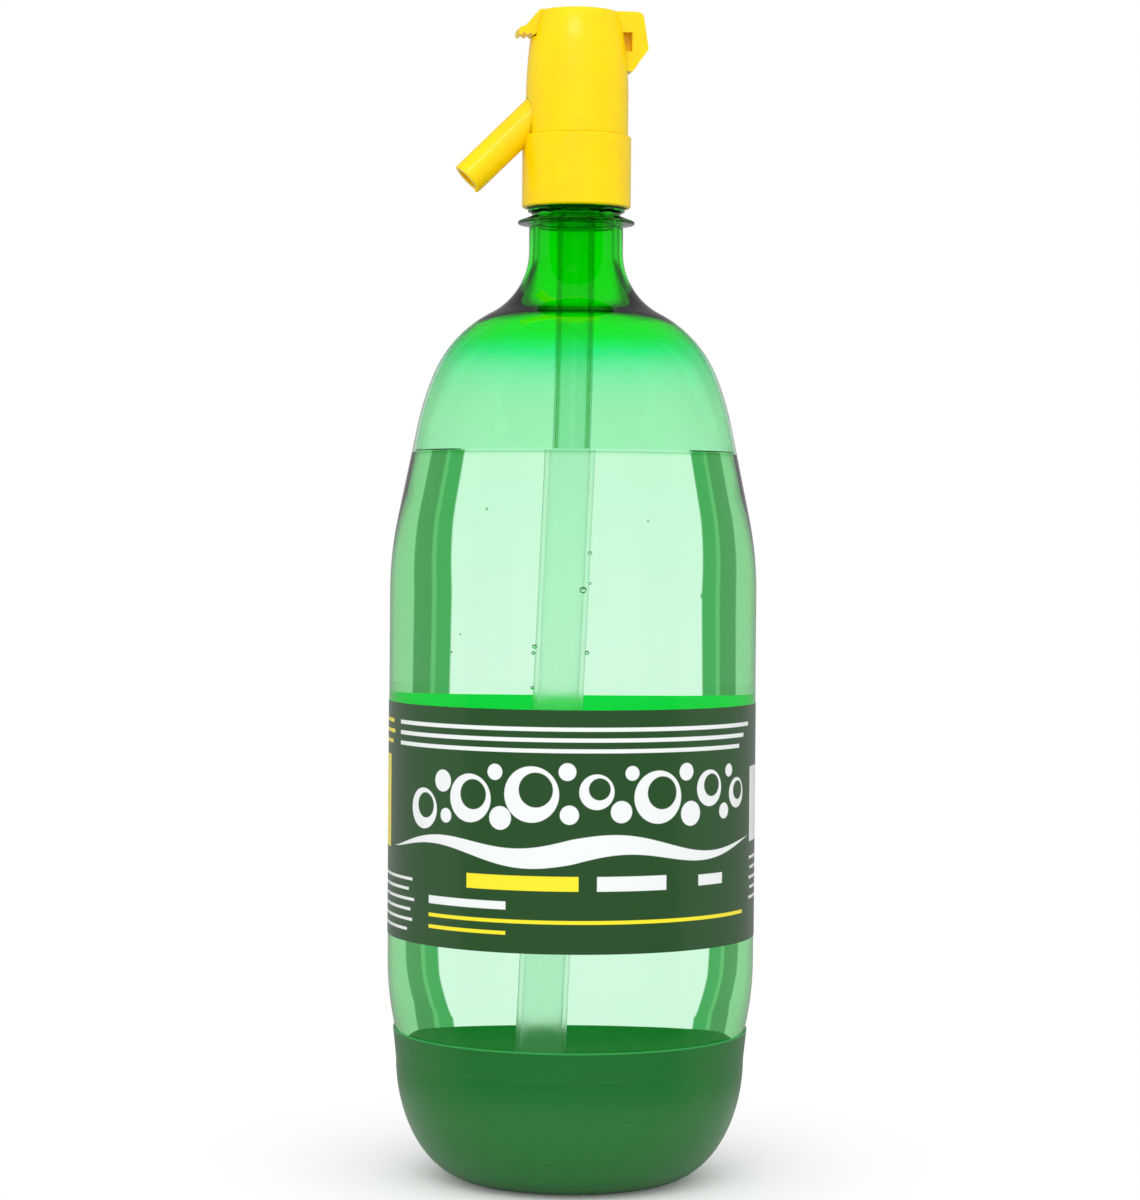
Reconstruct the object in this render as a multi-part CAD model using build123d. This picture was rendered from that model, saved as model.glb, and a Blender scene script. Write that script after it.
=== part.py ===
"""Soda siphon: a blown green bottle in a base cup, with a yellow screw-on valve head.

Millimetres, Z up, floor at zero, the bottle's axis on Z. The spout points along -X, the rocker
stands out along +X. Pressing the opened lever turns the rocker, whose fork lifts the valve stem.
"""

import os
from math import cos, radians, sin, sqrt, tan

from build123d import *

# Gaps that several fits share
FIT_GAP = 0.05
RUNNING_GAP = 0.05
SIDE_GAP = 0.3
OVERRUN = 2.0

# Angles that the outlines turn through
RIGHT_ANGLE = 90.0
FULL_TURN = 360.0

# Bottle
BODY_RADIUS = 51.9
BODY_WALL = 0.6
NECK_RADIUS = 13.3
NECK_STRAIGHT = 7.6
DOME_EDGE_ANGLE = 10.7
TAPER_ANGLE = 11.6
MID_ANGLE = 22.3
TOP_ANGLE = 62.8
HEEL_ARC_SHARE = 1.7
TAPER_ARC_SHARE = 2.7
UPPER_ARC_SHARE = 2.1
LOWER_ARC_SHARE = 0.89
NECK_ARC_SHARE = 0.51

# Neck finish above the support ring
RING_Z = 270.0
RING_RADIUS = 16.5
RING_EDGE = 0.8
RING_ROOT = 2.4
FINISH_HEIGHT = 21.0
FINISH_RADIUS = 12.5
FINISH_WALL = 1.6
BEAD_HEIGHT = 1.2
BEAD_WIDTH = 2.2
THREAD_DEPTH = 1.2
THREAD_PITCH = 3.18
THREAD_TURNS = 1.75
THREAD_ROOT_WIDTH = 1.5
THREAD_CREST_WIDTH = 0.7
THREAD_GAP = 0.3
THREAD_TOP_GAP = 3.0

# Base cup
CUP_HEIGHT = 42.6
CUP_RIM = 0.5
CUP_WALL = 1.4
CUP_DRAFT = 0.9
CUP_FOOT_SHARE = 0.55
CUP_CORNER_SHARE = 0.8
CUP_CROWN_LIFT = 2.6
CUP_CROWN_SHARE = 0.82
CUP_RIB_COUNT = 8
CUP_RIB_WIDTH = 1.4
CUP_HOLE_COUNT = 4
CUP_HOLE_RADIUS = 2.5
GLUE_GAP = 0.1

# Label and fill
LABEL_Z = 69.6
LABEL_HEIGHT = 65.8
LABEL_THICKNESS = 0.15
WATER_LEVEL = 206.0

# Dip tube
TUBE_RADIUS = 5.4
TUBE_WALL = 1.2
TUBE_STRAIGHT = 22.0
TUBE_BEND_RADIUS = 2400.0
TUBE_LEAN = 1.9
TUBE_END_GAP = 7.0

# Seat plug and gasket in the neck
GASKET_THICKNESS = 0.8
PLUG_FLANGE = 1.6
PLUG_SKIRT_DEPTH = 5.0
PLUG_SKIRT_WALL = 1.4
SOCKET_DEPTH = 13.0
SOCKET_WALL = 1.6
SEAT_BORE = 2.6
SEAT_LIP_WIDTH = 0.8
SEAT_LIP_HEIGHT = 0.8
BOSS_RADIUS = 5.0

# Valve body: screw skirt, top plate, chamber tower and spout
SKIRT_WALL = 1.4
SKIRT_LIFT = 4.7
SKIRT_EDGE = 0.4
PLATE_THICKNESS = 2.6
SEAM_RISE = 1.4
CHAMBER_RADIUS = 6.6
TOWER_WALL = 1.8
SPOUT_RADIUS = 4.75
SPOUT_BORE = 3.1
SPOUT_ANGLE = 44.5
SPOUT_LENGTH = 34.4
SPOUT_EDGE = 0.4
NIB_RADIUS = 0.75

# Valve stem and the pieces on it
STEM_RADIUS = 2.0
STEM_FLANGE_RADIUS = 4.6
STEM_FLANGE = 1.6
SPIGOT_RADIUS = 1.2
DISC_THICKNESS = 1.6
DISC_RADIUS = 4.4
BUTTON_HEIGHT = 1.4
COLLAR_RADIUS = 4.1
COLLAR_HEIGHT = 2.6
COLLAR_CAP = 0.8
STEM_EXPOSED = 3.4
STEM_ORING = 0.8

# Spring, washer and bonnet
SPRING_LENGTH = 10.6
SPRING_TURNS = 5
SPRING_WIRE = 0.45
SPRING_RADIUS = 3.6
WASHER_THICKNESS = 0.8
BONNET_DEPTH = 3.0
BONNET_FLANGE = 1.4
BONNET_LEDGE = 1.0
BONNET_ORING = 0.7

# Hood
HOOD_HEIGHT = 35.2
HOOD_RADIUS = 14.5
HOOD_WALL = 1.3
HOOD_LOWER_ARC = 130.0
HOOD_UPPER_ARC = 35.0
HOOD_LOWER_ANGLE = 6.4
HOOD_UPPER_ANGLE = 16.6
HOOD_EDGE = 0.6
HOOD_SEAM_EDGE = 0.3
WEB_THICKNESS = 1.3
PIN_BOSS_RADIUS = 2.5

# Rocker and its pin
ROCKER_WIDTH = 8.4
ROCKER_PRESS_ANGLE = 14.0
CHEEK = 1.35
PIVOT_SHARE = 0.7
PIN_RADIUS = 1.0
PIN_BLIND = 1.2
HUB_RADIUS = 2.6
PAD_RADIUS = 1.3
PAD_GAP = 0.1
ROCKER_REACH = 5.2
KNUCKLE_INSET = 3.4
KNUCKLE_RADIUS = 2.1
ROCKER_DEPTH = 16.8
ELBOW_SHARE = 0.62
TOE_REACH = 0.7
TOE_WIDTH = 1.2
ELBOW_ROUND = 0.5
WINDOW_INSET = 2.1
WINDOW_WIDTH = 2.6
WINDOW_TOP = 5.8
WINDOW_HEIGHT = 5.4
WINDOW_WEB = 1.4

# Lever
LEVER_FLIP_ANGLE = 205.0
LEVER_PLATE = 1.5
LEVER_FLANGE = 1.3
LEVER_FLANGE_DEPTH = 3.2
TRUNNION_RADIUS = 1.1
TRUNNION_LENGTH = 0.9
LEVER_ROOT_GAP = 0.8
NOSE_TOP_REACH = 0.7
NOSE_REACH = 4.6
NOSE_DROP = 4.6
LIP_REACH = 6.7
LIP_DROP = 5.4
LIP_THICKNESS = 1.4
LIP_ROUND_SHARE = 0.45
NOSE_ROUND = 0.5
NOSE_BACK = 3.0
TOOTH_RADIUS = 0.55
TOOTH_PITCH = 1.8
TOOTH_COUNT = 3

# Heights and radii that follow
SPAN = BODY_RADIUS - NECK_RADIUS
HEEL_ARC = HEEL_ARC_SHARE * BODY_RADIUS
TAPER_ARC = TAPER_ARC_SHARE * SPAN
UPPER_ARC = UPPER_ARC_SHARE * SPAN
LOWER_ARC = LOWER_ARC_SHARE * SPAN
NECK_ARC = NECK_ARC_SHARE * SPAN
DOME_EDGE = radians(DOME_EDGE_ANGLE)
DOME_RADIUS = (BODY_RADIUS - HEEL_ARC * (1 - cos(DOME_EDGE))) / cos(DOME_EDGE)
DOME_Z = CUP_CROWN_LIFT + CUP_WALL + GLUE_GAP
DOME_CENTRE_Z = DOME_Z + DOME_RADIUS
HEEL_TOP_Z = DOME_CENTRE_Z + (HEEL_ARC - DOME_RADIUS) * sin(DOME_EDGE)
NECK_TOP = RING_Z + FINISH_HEIGHT
NECK_BORE = FINISH_RADIUS - FINISH_WALL
CAP_BORE = FINISH_RADIUS + THREAD_DEPTH + THREAD_GAP
SKIRT_RADIUS = CAP_BORE + SKIRT_WALL
SKIRT_BOTTOM = RING_Z + SKIRT_LIFT
GASKET_TOP = NECK_TOP + GASKET_THICKNESS
PLATE_BOTTOM = GASKET_TOP + PLUG_FLANGE
SEAM_Z = PLATE_BOTTOM + SEAM_RISE
PLATE_TOP = PLATE_BOTTOM + PLATE_THICKNESS
SEAT_Z = PLATE_TOP + SEAT_LIP_HEIGHT
DISC_TOP = SEAT_Z + DISC_THICKNESS
FLANGE_TOP = DISC_TOP + STEM_FLANGE
SPRING_TOP = FLANGE_TOP + SPRING_LENGTH
WASHER_TOP = SPRING_TOP + WASHER_THICKNESS
TOWER_TOP = WASHER_TOP + BONNET_DEPTH
TOWER_RADIUS = CHAMBER_RADIUS + TOWER_WALL
BONNET_TOP = TOWER_TOP + BONNET_FLANGE
COLLAR_Z = BONNET_TOP + STEM_EXPOSED
PIVOT_X = PIVOT_SHARE * HOOD_RADIUS
SPOUT_RISE = SPOUT_BORE / cos(radians(SPOUT_ANGLE))
SPOUT_ENTRY_Z = SPRING_TOP - SPOUT_RISE
HOOD_TOP = SEAM_Z + HOOD_HEIGHT
PIVOT_Z = COLLAR_Z - PAD_GAP - PAD_RADIUS
ROCKER_HALF = ROCKER_WIDTH / 2
CHANNEL_HALF = ROCKER_HALF + SIDE_GAP
LEVER_ROOT_HALF = ROCKER_HALF - CHEEK - SIDE_GAP / 2
KNUCKLE_X = HOOD_RADIUS + ROCKER_REACH - KNUCKLE_INSET
KNUCKLE_Z = HOOD_TOP - KNUCKLE_RADIUS
ROCKER_LEFT = PIVOT_X - KNUCKLE_RADIUS
LEVER_WIDE_X = ROCKER_LEFT - LEVER_ROOT_GAP
WINDOW_X = HOOD_RADIUS - WINDOW_INSET
TOE_Z = HOOD_TOP - ROCKER_DEPTH
TOE_X = HOOD_RADIUS + TOE_REACH


def lathe(edges):
    """Turn a closed outline, drawn as radius and height, around the bottle's axis."""
    return revolve(Plane.XZ * make_face(edges), Axis.Z)


def lathe_points(points):
    """Turn a closed outline of straight lines around the bottle's axis."""
    return lathe(Polyline(*points, close=True).edges())


def plate(edges, width):
    """A plate in the lever's plane, of this width across it."""
    return extrude(Plane.XZ * make_face(edges), width / 2, both=True)


def rod(radius, bottom, top):
    """A solid rod on the bottle's axis between two heights."""
    return Pos(0, 0, bottom) * Cylinder(radius, top - bottom, align=(Align.CENTER, Align.CENTER, Align.MIN))


def ring(outer, inner, bottom, top):
    """A plain ring on the bottle's axis between two heights."""
    return rod(outer, bottom, top) - rod(inner, bottom - OVERRUN, top + OVERRUN)


def block(x_from, x_to, half_width, z_from, z_to):
    """A box centred across the lever's plane."""
    at = Pos((x_from + x_to) / 2, 0, (z_from + z_to) / 2)
    return at * Box(x_to - x_from, 2 * half_width, z_to - z_from)


def cross_rod(radius, x, z, y_from, y_to):
    """A rod across the lever's plane."""
    return Pos(x, (y_from + y_to) / 2, z) * Rot(RIGHT_ANGLE, 0, 0) * Cylinder(radius, y_to - y_from)


def arc_run(radius, start_angle, end_angle):
    """How far an arc goes in and up while its lean grows from one angle to the other."""
    inward = radius * (cos(radians(start_angle)) - cos(radians(end_angle)))
    upward = radius * (sin(radians(end_angle)) - sin(radians(start_angle)))
    return Vector(inward, upward)


def shoulder_lengths():
    """Lengths of the straight wall and of the cone above it."""
    arcs = arc_run(TAPER_ARC, 0, TAPER_ANGLE) + arc_run(UPPER_ARC, TAPER_ANGLE, MID_ANGLE)
    arcs += arc_run(LOWER_ARC, MID_ANGLE, TOP_ANGLE)
    arcs += arc_run(NECK_ARC, 0, TOP_ANGLE)
    cone = (SPAN - arcs.X) / sin(radians(TAPER_ANGLE))
    wall = RING_Z - NECK_STRAIGHT - arcs.Y - cone * cos(radians(TAPER_ANGLE)) - HEEL_TOP_Z
    return wall, cone


def bottle_side(inset, neck_radius):
    """The side from the dome's lowest point to the neck, moved inwards by inset."""
    wall_length, cone_length = shoulder_lengths()
    dome = JernArc((0, DOME_Z + inset), (1, 0), DOME_RADIUS - inset, RIGHT_ANGLE - DOME_EDGE_ANGLE)
    heel = JernArc(dome @ 1, dome % 1, HEEL_ARC - inset, DOME_EDGE_ANGLE)
    wall = Line(heel @ 1, heel @ 1 + Vector(0, wall_length))
    taper = JernArc(wall @ 1, wall % 1, TAPER_ARC - inset, TAPER_ANGLE)
    cone = Line(taper @ 1, taper @ 1 + (taper % 1) * cone_length)
    upper = JernArc(cone @ 1, cone % 1, UPPER_ARC - inset, MID_ANGLE - TAPER_ANGLE)
    lower = JernArc(upper @ 1, upper % 1, LOWER_ARC - inset, TOP_ANGLE - MID_ANGLE)
    neck_arc = ((lower @ 1).X - neck_radius) / (1 - cos(radians(TOP_ANGLE)))
    neck = JernArc(lower @ 1, lower % 1, neck_arc, -TOP_ANGLE)
    return [dome, heel, wall, taper, cone, upper, lower, neck]


def screw_ridge(root_radius, crest_radius, bottom, embed):
    """A helical ridge whose root is sunk into the wall that carries it."""
    path = Helix(THREAD_PITCH, THREAD_PITCH * THREAD_TURNS, root_radius)
    outward = 1 if crest_radius > root_radius else -1
    sunk = -embed * outward
    depth = crest_radius - root_radius
    section = Polyline(
        (sunk, -THREAD_ROOT_WIDTH / 2),
        (depth, -THREAD_CREST_WIDTH / 2),
        (depth, THREAD_CREST_WIDTH / 2),
        (sunk, THREAD_ROOT_WIDTH / 2),
        close=True,
    )
    start = Plane(origin=path @ 0, x_dir=(1, 0, 0), z_dir=path % 0)
    return Pos(0, 0, bottom) * sweep(start * make_face(section.edges()), path=path, is_frenet=True)


def thread_bottom():
    """Height where the neck's thread begins."""
    return NECK_TOP - THREAD_TOP_GAP - THREAD_PITCH * THREAD_TURNS


def bottle():
    """The blown bottle with its neck finish."""
    outside = bottle_side(0, NECK_RADIUS)
    inside = bottle_side(BODY_WALL, NECK_BORE)
    bead_z = RING_Z + RING_ROOT + BEAD_HEIGHT
    finish = Polyline(
        outside[-1] @ 1,
        (NECK_RADIUS, RING_Z),
        (RING_RADIUS, RING_Z),
        (RING_RADIUS, RING_Z + RING_EDGE),
        (FINISH_RADIUS, RING_Z + RING_ROOT),
        (FINISH_RADIUS, bead_z - BEAD_HEIGHT / 2),
        (FINISH_RADIUS + BEAD_HEIGHT, bead_z),
        (FINISH_RADIUS + BEAD_HEIGHT, bead_z + BEAD_WIDTH - BEAD_HEIGHT),
        (FINISH_RADIUS, bead_z + BEAD_WIDTH),
        (FINISH_RADIUS, NECK_TOP),
        (NECK_BORE, NECK_TOP),
        inside[-1] @ 1,
    )
    floor = Line(inside[0] @ 0, outside[0] @ 0)
    shell = lathe(outside + finish.edges() + inside + [floor])
    crest = FINISH_RADIUS + THREAD_DEPTH
    return shell + screw_ridge(FINISH_RADIUS, crest, thread_bottom(), FINISH_WALL / 2)


def cup_rim_radius():
    """Inner radius of the cup's rim, where it meets the dome."""
    return sqrt(DOME_RADIUS**2 - (DOME_CENTRE_Z - CUP_HEIGHT) ** 2) + GLUE_GAP


def base_cup():
    """The opaque cup: turned shell, inner ribs under the dome, drain holes in its floor."""
    rim = cup_rim_radius()
    waist = rim + CUP_RIM - CUP_DRAFT
    foot = CUP_FOOT_SHARE * rim
    corner = CUP_CORNER_SHARE * CUP_HEIGHT
    crown = CUP_CROWN_SHARE * foot
    floor_z = CUP_CROWN_LIFT + CUP_WALL
    slope = crown + CUP_CROWN_LIFT
    reach = waist - foot
    side = EllipticalCenterArc((foot, corner), reach, corner, -RIGHT_ANGLE, arc_size=RIGHT_ANGLE)
    closing = Polyline(
        side @ 1,
        (rim + CUP_RIM, CUP_HEIGHT),
        (0, CUP_HEIGHT),
        (0, CUP_CROWN_LIFT),
        (crown, CUP_CROWN_LIFT),
        (slope, 0),
        side @ 0,
    )
    filled = lathe([side] + closing.edges())
    inner = EllipticalCenterArc(
        (foot, corner), reach - CUP_WALL, corner - CUP_WALL, -RIGHT_ANGLE, arc_size=RIGHT_ANGLE
    )
    hollow = Polyline(
        inner @ 1,
        (rim, CUP_HEIGHT),
        (0, CUP_HEIGHT),
        (0, floor_z),
        (crown + CUP_WALL / 2, floor_z),
        (slope + CUP_WALL / 2, CUP_WALL),
        inner @ 0,
    )
    body = filled - lathe([inner] + hollow.edges())
    dome = Pos(0, 0, DOME_CENTRE_Z) * Sphere(DOME_RADIUS + GLUE_GAP)
    rib = block(crown, waist, CUP_RIB_WIDTH / 2, 0, corner)
    for turn in range(CUP_RIB_COUNT):
        body += (Rot(0, 0, FULL_TURN * turn / CUP_RIB_COUNT) * rib & filled) - dome
    hole = Pos(crown / 2, 0, 0) * rod(CUP_HOLE_RADIUS, -OVERRUN, floor_z + OVERRUN)
    for turn in range(CUP_HOLE_COUNT):
        body -= Rot(0, 0, FULL_TURN * (turn + 1 / 2) / CUP_HOLE_COUNT) * hole
    return body


def label_sleeve():
    """The printed film around the straight wall."""
    return ring(BODY_RADIUS + LABEL_THICKNESS, BODY_RADIUS, LABEL_Z, LABEL_Z + LABEL_HEIGHT)


def tube_path(bottom):
    """The tube's middle line from the socket down to this height."""
    upright = Line((0, GASKET_TOP - FIT_GAP), (0, GASKET_TOP - TUBE_STRAIGHT))
    bend = JernArc(upright @ 1, upright % 1, TUBE_BEND_RADIUS, -TUBE_LEAN)
    lean = bend % 1
    run = ((bend @ 1).Y - bottom) / -lean.Y
    lower = Line(bend @ 1, bend @ 1 + lean * run)
    return Plane.XZ * Wire([upright, bend, lower])


def tube_wall(bottom, gap):
    """The tube's wall, grown by a gap on both sides."""
    section = Circle(TUBE_RADIUS + gap) - Circle(TUBE_RADIUS - TUBE_WALL - gap)
    start = Plane(origin=(0, 0, GASKET_TOP - FIT_GAP), z_dir=(0, 0, -1))
    return sweep(start * section, path=tube_path(bottom))


def dip_tube():
    """The tube that feeds the valve."""
    return tube_wall(DOME_Z + BODY_WALL + TUBE_END_GAP, 0)


def soda_water():
    """The fill below its level, around and inside the dip tube."""
    inside = bottle_side(BODY_WALL + FIT_GAP, NECK_BORE - FIT_GAP)
    top = inside[-1] @ 1
    closing = Polyline(top, (0, top.Y), inside[0] @ 0)
    room = lathe(inside + closing.edges())
    fill = room & rod(BODY_RADIUS, 0, WATER_LEVEL)
    return fill - tube_wall(DOME_Z + BODY_WALL + TUBE_END_GAP - FIT_GAP, FIT_GAP)


def neck_gasket():
    """The flat ring on the neck's rim."""
    return ring(FINISH_RADIUS, NECK_BORE, NECK_TOP, GASKET_TOP)


def seat_plug():
    """The plug in the neck, with the tube's socket below and the valve seat on top."""
    flange_radius = CAP_BORE - THREAD_DEPTH - FIT_GAP
    socket = TUBE_RADIUS + FIT_GAP
    plug = rod(flange_radius, GASKET_TOP, PLATE_BOTTOM)
    plug += rod(BOSS_RADIUS, GASKET_TOP, PLATE_TOP)
    plug += rod(SEAT_BORE + SEAT_LIP_WIDTH, GASKET_TOP, SEAT_Z)
    plug += ring(socket + SOCKET_WALL, socket, GASKET_TOP - SOCKET_DEPTH, GASKET_TOP)
    skirt = NECK_BORE - FIT_GAP
    plug += ring(skirt, skirt - PLUG_SKIRT_WALL, GASKET_TOP - PLUG_SKIRT_DEPTH, GASKET_TOP)
    return plug - rod(SEAT_BORE, GASKET_TOP - OVERRUN, SEAT_Z + OVERRUN)


def spout_frame():
    """Where the spout's axis crosses the chamber's wall, with Z along the flow."""
    along = (-cos(radians(SPOUT_ANGLE)), 0, -sin(radians(SPOUT_ANGLE)))
    return Plane(origin=(-CHAMBER_RADIUS, 0, SPOUT_ENTRY_Z), x_dir=(0, 1, 0), z_dir=along)


def spout_rod(radius, back, front):
    """A rod on the spout's axis, from back behind the crossing to front past it."""
    return spout_frame() * rod(radius, -back, front)


def valve_body():
    """Screw skirt, top plate, chamber tower and spout in one moulding."""
    spigot = HOOD_RADIUS - HOOD_WALL - FIT_GAP
    outline = [
        (0, SKIRT_BOTTOM),
        (SKIRT_RADIUS - SKIRT_EDGE, SKIRT_BOTTOM),
        (SKIRT_RADIUS, SKIRT_BOTTOM + SKIRT_EDGE),
        (SKIRT_RADIUS, SEAM_Z - SKIRT_EDGE),
        (SKIRT_RADIUS - SKIRT_EDGE, SEAM_Z),
        (spigot, SEAM_Z),
        (spigot, PLATE_TOP),
        (0, PLATE_TOP),
    ]
    body = lathe_points(outline) + rod(TOWER_RADIUS, PLATE_BOTTOM, TOWER_TOP)
    half_chamber = CHAMBER_RADIUS / 2
    spout = rod(SPOUT_RADIUS, -half_chamber, SPOUT_LENGTH)
    spout = fillet(spout.edges().group_by(Axis.Z)[-1], SPOUT_EDGE)
    body += spout_frame() * spout
    nib = Pos(0, (SPOUT_RADIUS + SPOUT_BORE) / 2, SPOUT_LENGTH) * Sphere(NIB_RADIUS)
    body += spout_frame() * nib
    body -= rod(CAP_BORE, SKIRT_BOTTOM - OVERRUN, PLATE_BOTTOM)
    body -= rod(BOSS_RADIUS + FIT_GAP, PLATE_BOTTOM - OVERRUN, PLATE_TOP)
    body -= rod(CHAMBER_RADIUS, PLATE_TOP, TOWER_TOP + OVERRUN)
    body -= spout_rod(SPOUT_BORE, half_chamber, SPOUT_LENGTH + OVERRUN)
    ridge_z = thread_bottom() + THREAD_PITCH / 2
    return body + screw_ridge(CAP_BORE, CAP_BORE - THREAD_DEPTH, ridge_z, SKIRT_WALL / 2)


def valve_stem():
    """Rod with a flange over the washer and a spigot at each end."""
    stem = rod(STEM_FLANGE_RADIUS, DISC_TOP, FLANGE_TOP)
    stem += rod(STEM_RADIUS, DISC_TOP, COLLAR_Z)
    return stem + rod(SPIGOT_RADIUS, SEAT_Z - BUTTON_HEIGHT, COLLAR_Z + COLLAR_HEIGHT - COLLAR_CAP)


def valve_disc():
    """Rubber washer that shuts the seat."""
    return ring(DISC_RADIUS, SPIGOT_RADIUS + FIT_GAP, SEAT_Z, DISC_TOP)


def disc_button():
    """Button under the washer, inside the seat's bore."""
    return ring(SEAT_BORE - SIDE_GAP, SPIGOT_RADIUS + FIT_GAP, SEAT_Z - BUTTON_HEIGHT, SEAT_Z)


def lift_collar():
    """Cap on the stem's top that the fork lifts."""
    collar = rod(COLLAR_RADIUS, COLLAR_Z, COLLAR_Z + COLLAR_HEIGHT)
    top = COLLAR_Z + COLLAR_HEIGHT - COLLAR_CAP + FIT_GAP
    return collar - rod(SPIGOT_RADIUS + FIT_GAP, COLLAR_Z - OVERRUN, top)


def spring_point(turn, pitch, bottom):
    """A point on the spring's middle line after this many turns."""
    angle = radians(FULL_TURN * turn)
    return Vector(SPRING_RADIUS * cos(angle), SPRING_RADIUS * sin(angle), bottom + pitch * turn)


def valve_spring():
    """Wire wound in quarter turns between the stem's flange and the washer."""
    bottom = FLANGE_TOP + SPRING_WIRE + FIT_GAP
    pitch = (SPRING_LENGTH - 2 * SPRING_WIRE - 2 * FIT_GAP) / SPRING_TURNS
    arcs = []
    for quarter in range(4 * SPRING_TURNS):
        knots = [spring_point((quarter + step) / 4, pitch, bottom) for step in (0, 1 / 2, 1)]
        arcs.append(ThreePointArc(*knots))
    path = Wire(arcs)
    start = Plane(origin=path @ 0, z_dir=path % 0)
    print("spring gap between turns", round(pitch - 2 * SPRING_WIRE, 2))
    return sweep(start * Circle(SPRING_WIRE), path=path)


def spring_washer():
    """Ring that the spring bears on."""
    return ring(CHAMBER_RADIUS - FIT_GAP, STEM_RADIUS + RUNNING_GAP, SPRING_TOP, WASHER_TOP)


def stem_oring():
    """Moving seal round the stem."""
    centre = STEM_RADIUS + RUNNING_GAP + STEM_ORING
    return Pos(0, 0, WASHER_TOP + FIT_GAP + STEM_ORING) * Torus(centre, STEM_ORING)


def bonnet_groove_z():
    """Middle height of the bonnet's outer groove."""
    return WASHER_TOP + BONNET_DEPTH / 2


def bonnet():
    """Plug that closes the chamber and guides the stem."""
    outside = CHAMBER_RADIUS - FIT_GAP
    plug = rod(outside, WASHER_TOP, TOWER_TOP)
    plug += rod(CHAMBER_RADIUS + BONNET_LEDGE, TOWER_TOP, BONNET_TOP)
    plug -= rod(STEM_RADIUS + RUNNING_GAP, WASHER_TOP - OVERRUN, BONNET_TOP + OVERRUN)
    pocket = STEM_RADIUS + RUNNING_GAP + 2 * STEM_ORING + FIT_GAP
    plug -= rod(pocket, WASHER_TOP - OVERRUN, WASHER_TOP + 2 * STEM_ORING + 2 * FIT_GAP)
    groove = BONNET_ORING + FIT_GAP
    inner = outside - 2 * groove
    return plug - ring(outside + OVERRUN, inner, bonnet_groove_z() - groove, bonnet_groove_z() + groove)


def bonnet_oring():
    """Still seal in the bonnet's outer groove."""
    centre = CHAMBER_RADIUS - 2 * FIT_GAP - BONNET_ORING
    return Pos(0, 0, bonnet_groove_z()) * Torus(centre, BONNET_ORING)


def hood_lean():
    """How far the hood's arcs go in and up."""
    lean = HOOD_LOWER_ANGLE + HOOD_UPPER_ANGLE
    arcs = arc_run(HOOD_LOWER_ARC, 0, HOOD_LOWER_ANGLE) + arc_run(HOOD_UPPER_ARC, HOOD_LOWER_ANGLE, lean)
    return arcs + arc_run(HOOD_EDGE, lean, RIGHT_ANGLE)


def hood_side(inset):
    """The hood's side below its top edge, moved inwards by inset."""
    straight = Line((HOOD_RADIUS - inset, SEAM_Z), (HOOD_RADIUS - inset, HOOD_TOP - hood_lean().Y))
    lower = JernArc(straight @ 1, straight % 1, HOOD_LOWER_ARC - inset, HOOD_LOWER_ANGLE)
    upper = JernArc(lower @ 1, lower % 1, HOOD_UPPER_ARC - inset, HOOD_UPPER_ANGLE)
    return [straight, lower, upper]


def hood_outside():
    """The hood's outside as a solid, with its rounded top edge."""
    side = hood_side(0)
    edge = JernArc(side[-1] @ 1, side[-1] % 1, HOOD_EDGE, RIGHT_ANGLE - HOOD_LOWER_ANGLE - HOOD_UPPER_ANGLE)
    closing = Polyline(edge @ 1, (0, HOOD_TOP), (0, SEAM_Z), side[0] @ 0)
    outside = lathe(side + [edge] + closing.edges())
    return chamfer(outside.edges().group_by(Axis.Z)[0], HOOD_SEAM_EDGE)


def hood_room():
    """The hollow under the hood's wall and top."""
    side = hood_side(HOOD_WALL)
    closing = Polyline(side[-1] @ 1, (0, (side[-1] @ 1).Y), (0, SEAM_Z), side[0] @ 0)
    return lathe(side + closing.edges()) & rod(HOOD_RADIUS, SEAM_Z, HOOD_TOP - HOOD_WALL)


def slot_bottom():
    """Lowest height that the rocker's toe sweeps, with a gap."""
    turn = radians(ROCKER_PRESS_ANGLE)
    pressed = PIVOT_Z - (TOE_X - PIVOT_X) * sin(turn) - (PIVOT_Z - TOE_Z) * cos(turn)
    return min(TOE_Z, pressed) - SIDE_GAP


def spout_notch():
    """Opening in the hood's wall for the spout, open at the seam."""
    half = SPOUT_RADIUS + SIDE_GAP
    axis_z = SPOUT_ENTRY_Z - (HOOD_RADIUS - CHAMBER_RADIUS) * tan(radians(SPOUT_ANGLE))
    below = block(-HOOD_RADIUS - OVERRUN, -CHAMBER_RADIUS, half, SEAM_Z - OVERRUN, axis_z)
    return below + spout_rod(half, 0, SPOUT_LENGTH)


def hood():
    """Cover with its lever channel, rear slot, spout notch and the two walls that hold the pin."""
    outside = hood_outside()
    body = outside - hood_room()
    web_z = BONNET_TOP + SIDE_GAP
    web_y = CHANNEL_HALF + WEB_THICKNESS
    walls = block(-HOOD_RADIUS, HOOD_RADIUS, web_y, web_z, HOOD_TOP)
    walls += cross_rod(PIN_BOSS_RADIUS, PIVOT_X, PIVOT_Z, -web_y, web_y)
    body += walls & outside
    over = HOOD_TOP + OVERRUN
    reach = HOOD_RADIUS + OVERRUN
    nose_depth = LIP_DROP + LIP_THICKNESS + TOOTH_RADIUS + SIDE_GAP
    inner = HOOD_RADIUS - HOOD_WALL - OVERRUN
    body -= block(-reach, 0, CHANNEL_HALF, HOOD_TOP - nose_depth, over)
    body -= block(0, reach, CHANNEL_HALF, slot_bottom(), over)
    body -= block(-inner, inner, CHANNEL_HALF, web_z - OVERRUN, over)
    body -= cross_rod(PIN_RADIUS + FIT_GAP, PIVOT_X, PIVOT_Z, -CHANNEL_HALF - PIN_BLIND, reach)
    return body - spout_notch()


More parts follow.
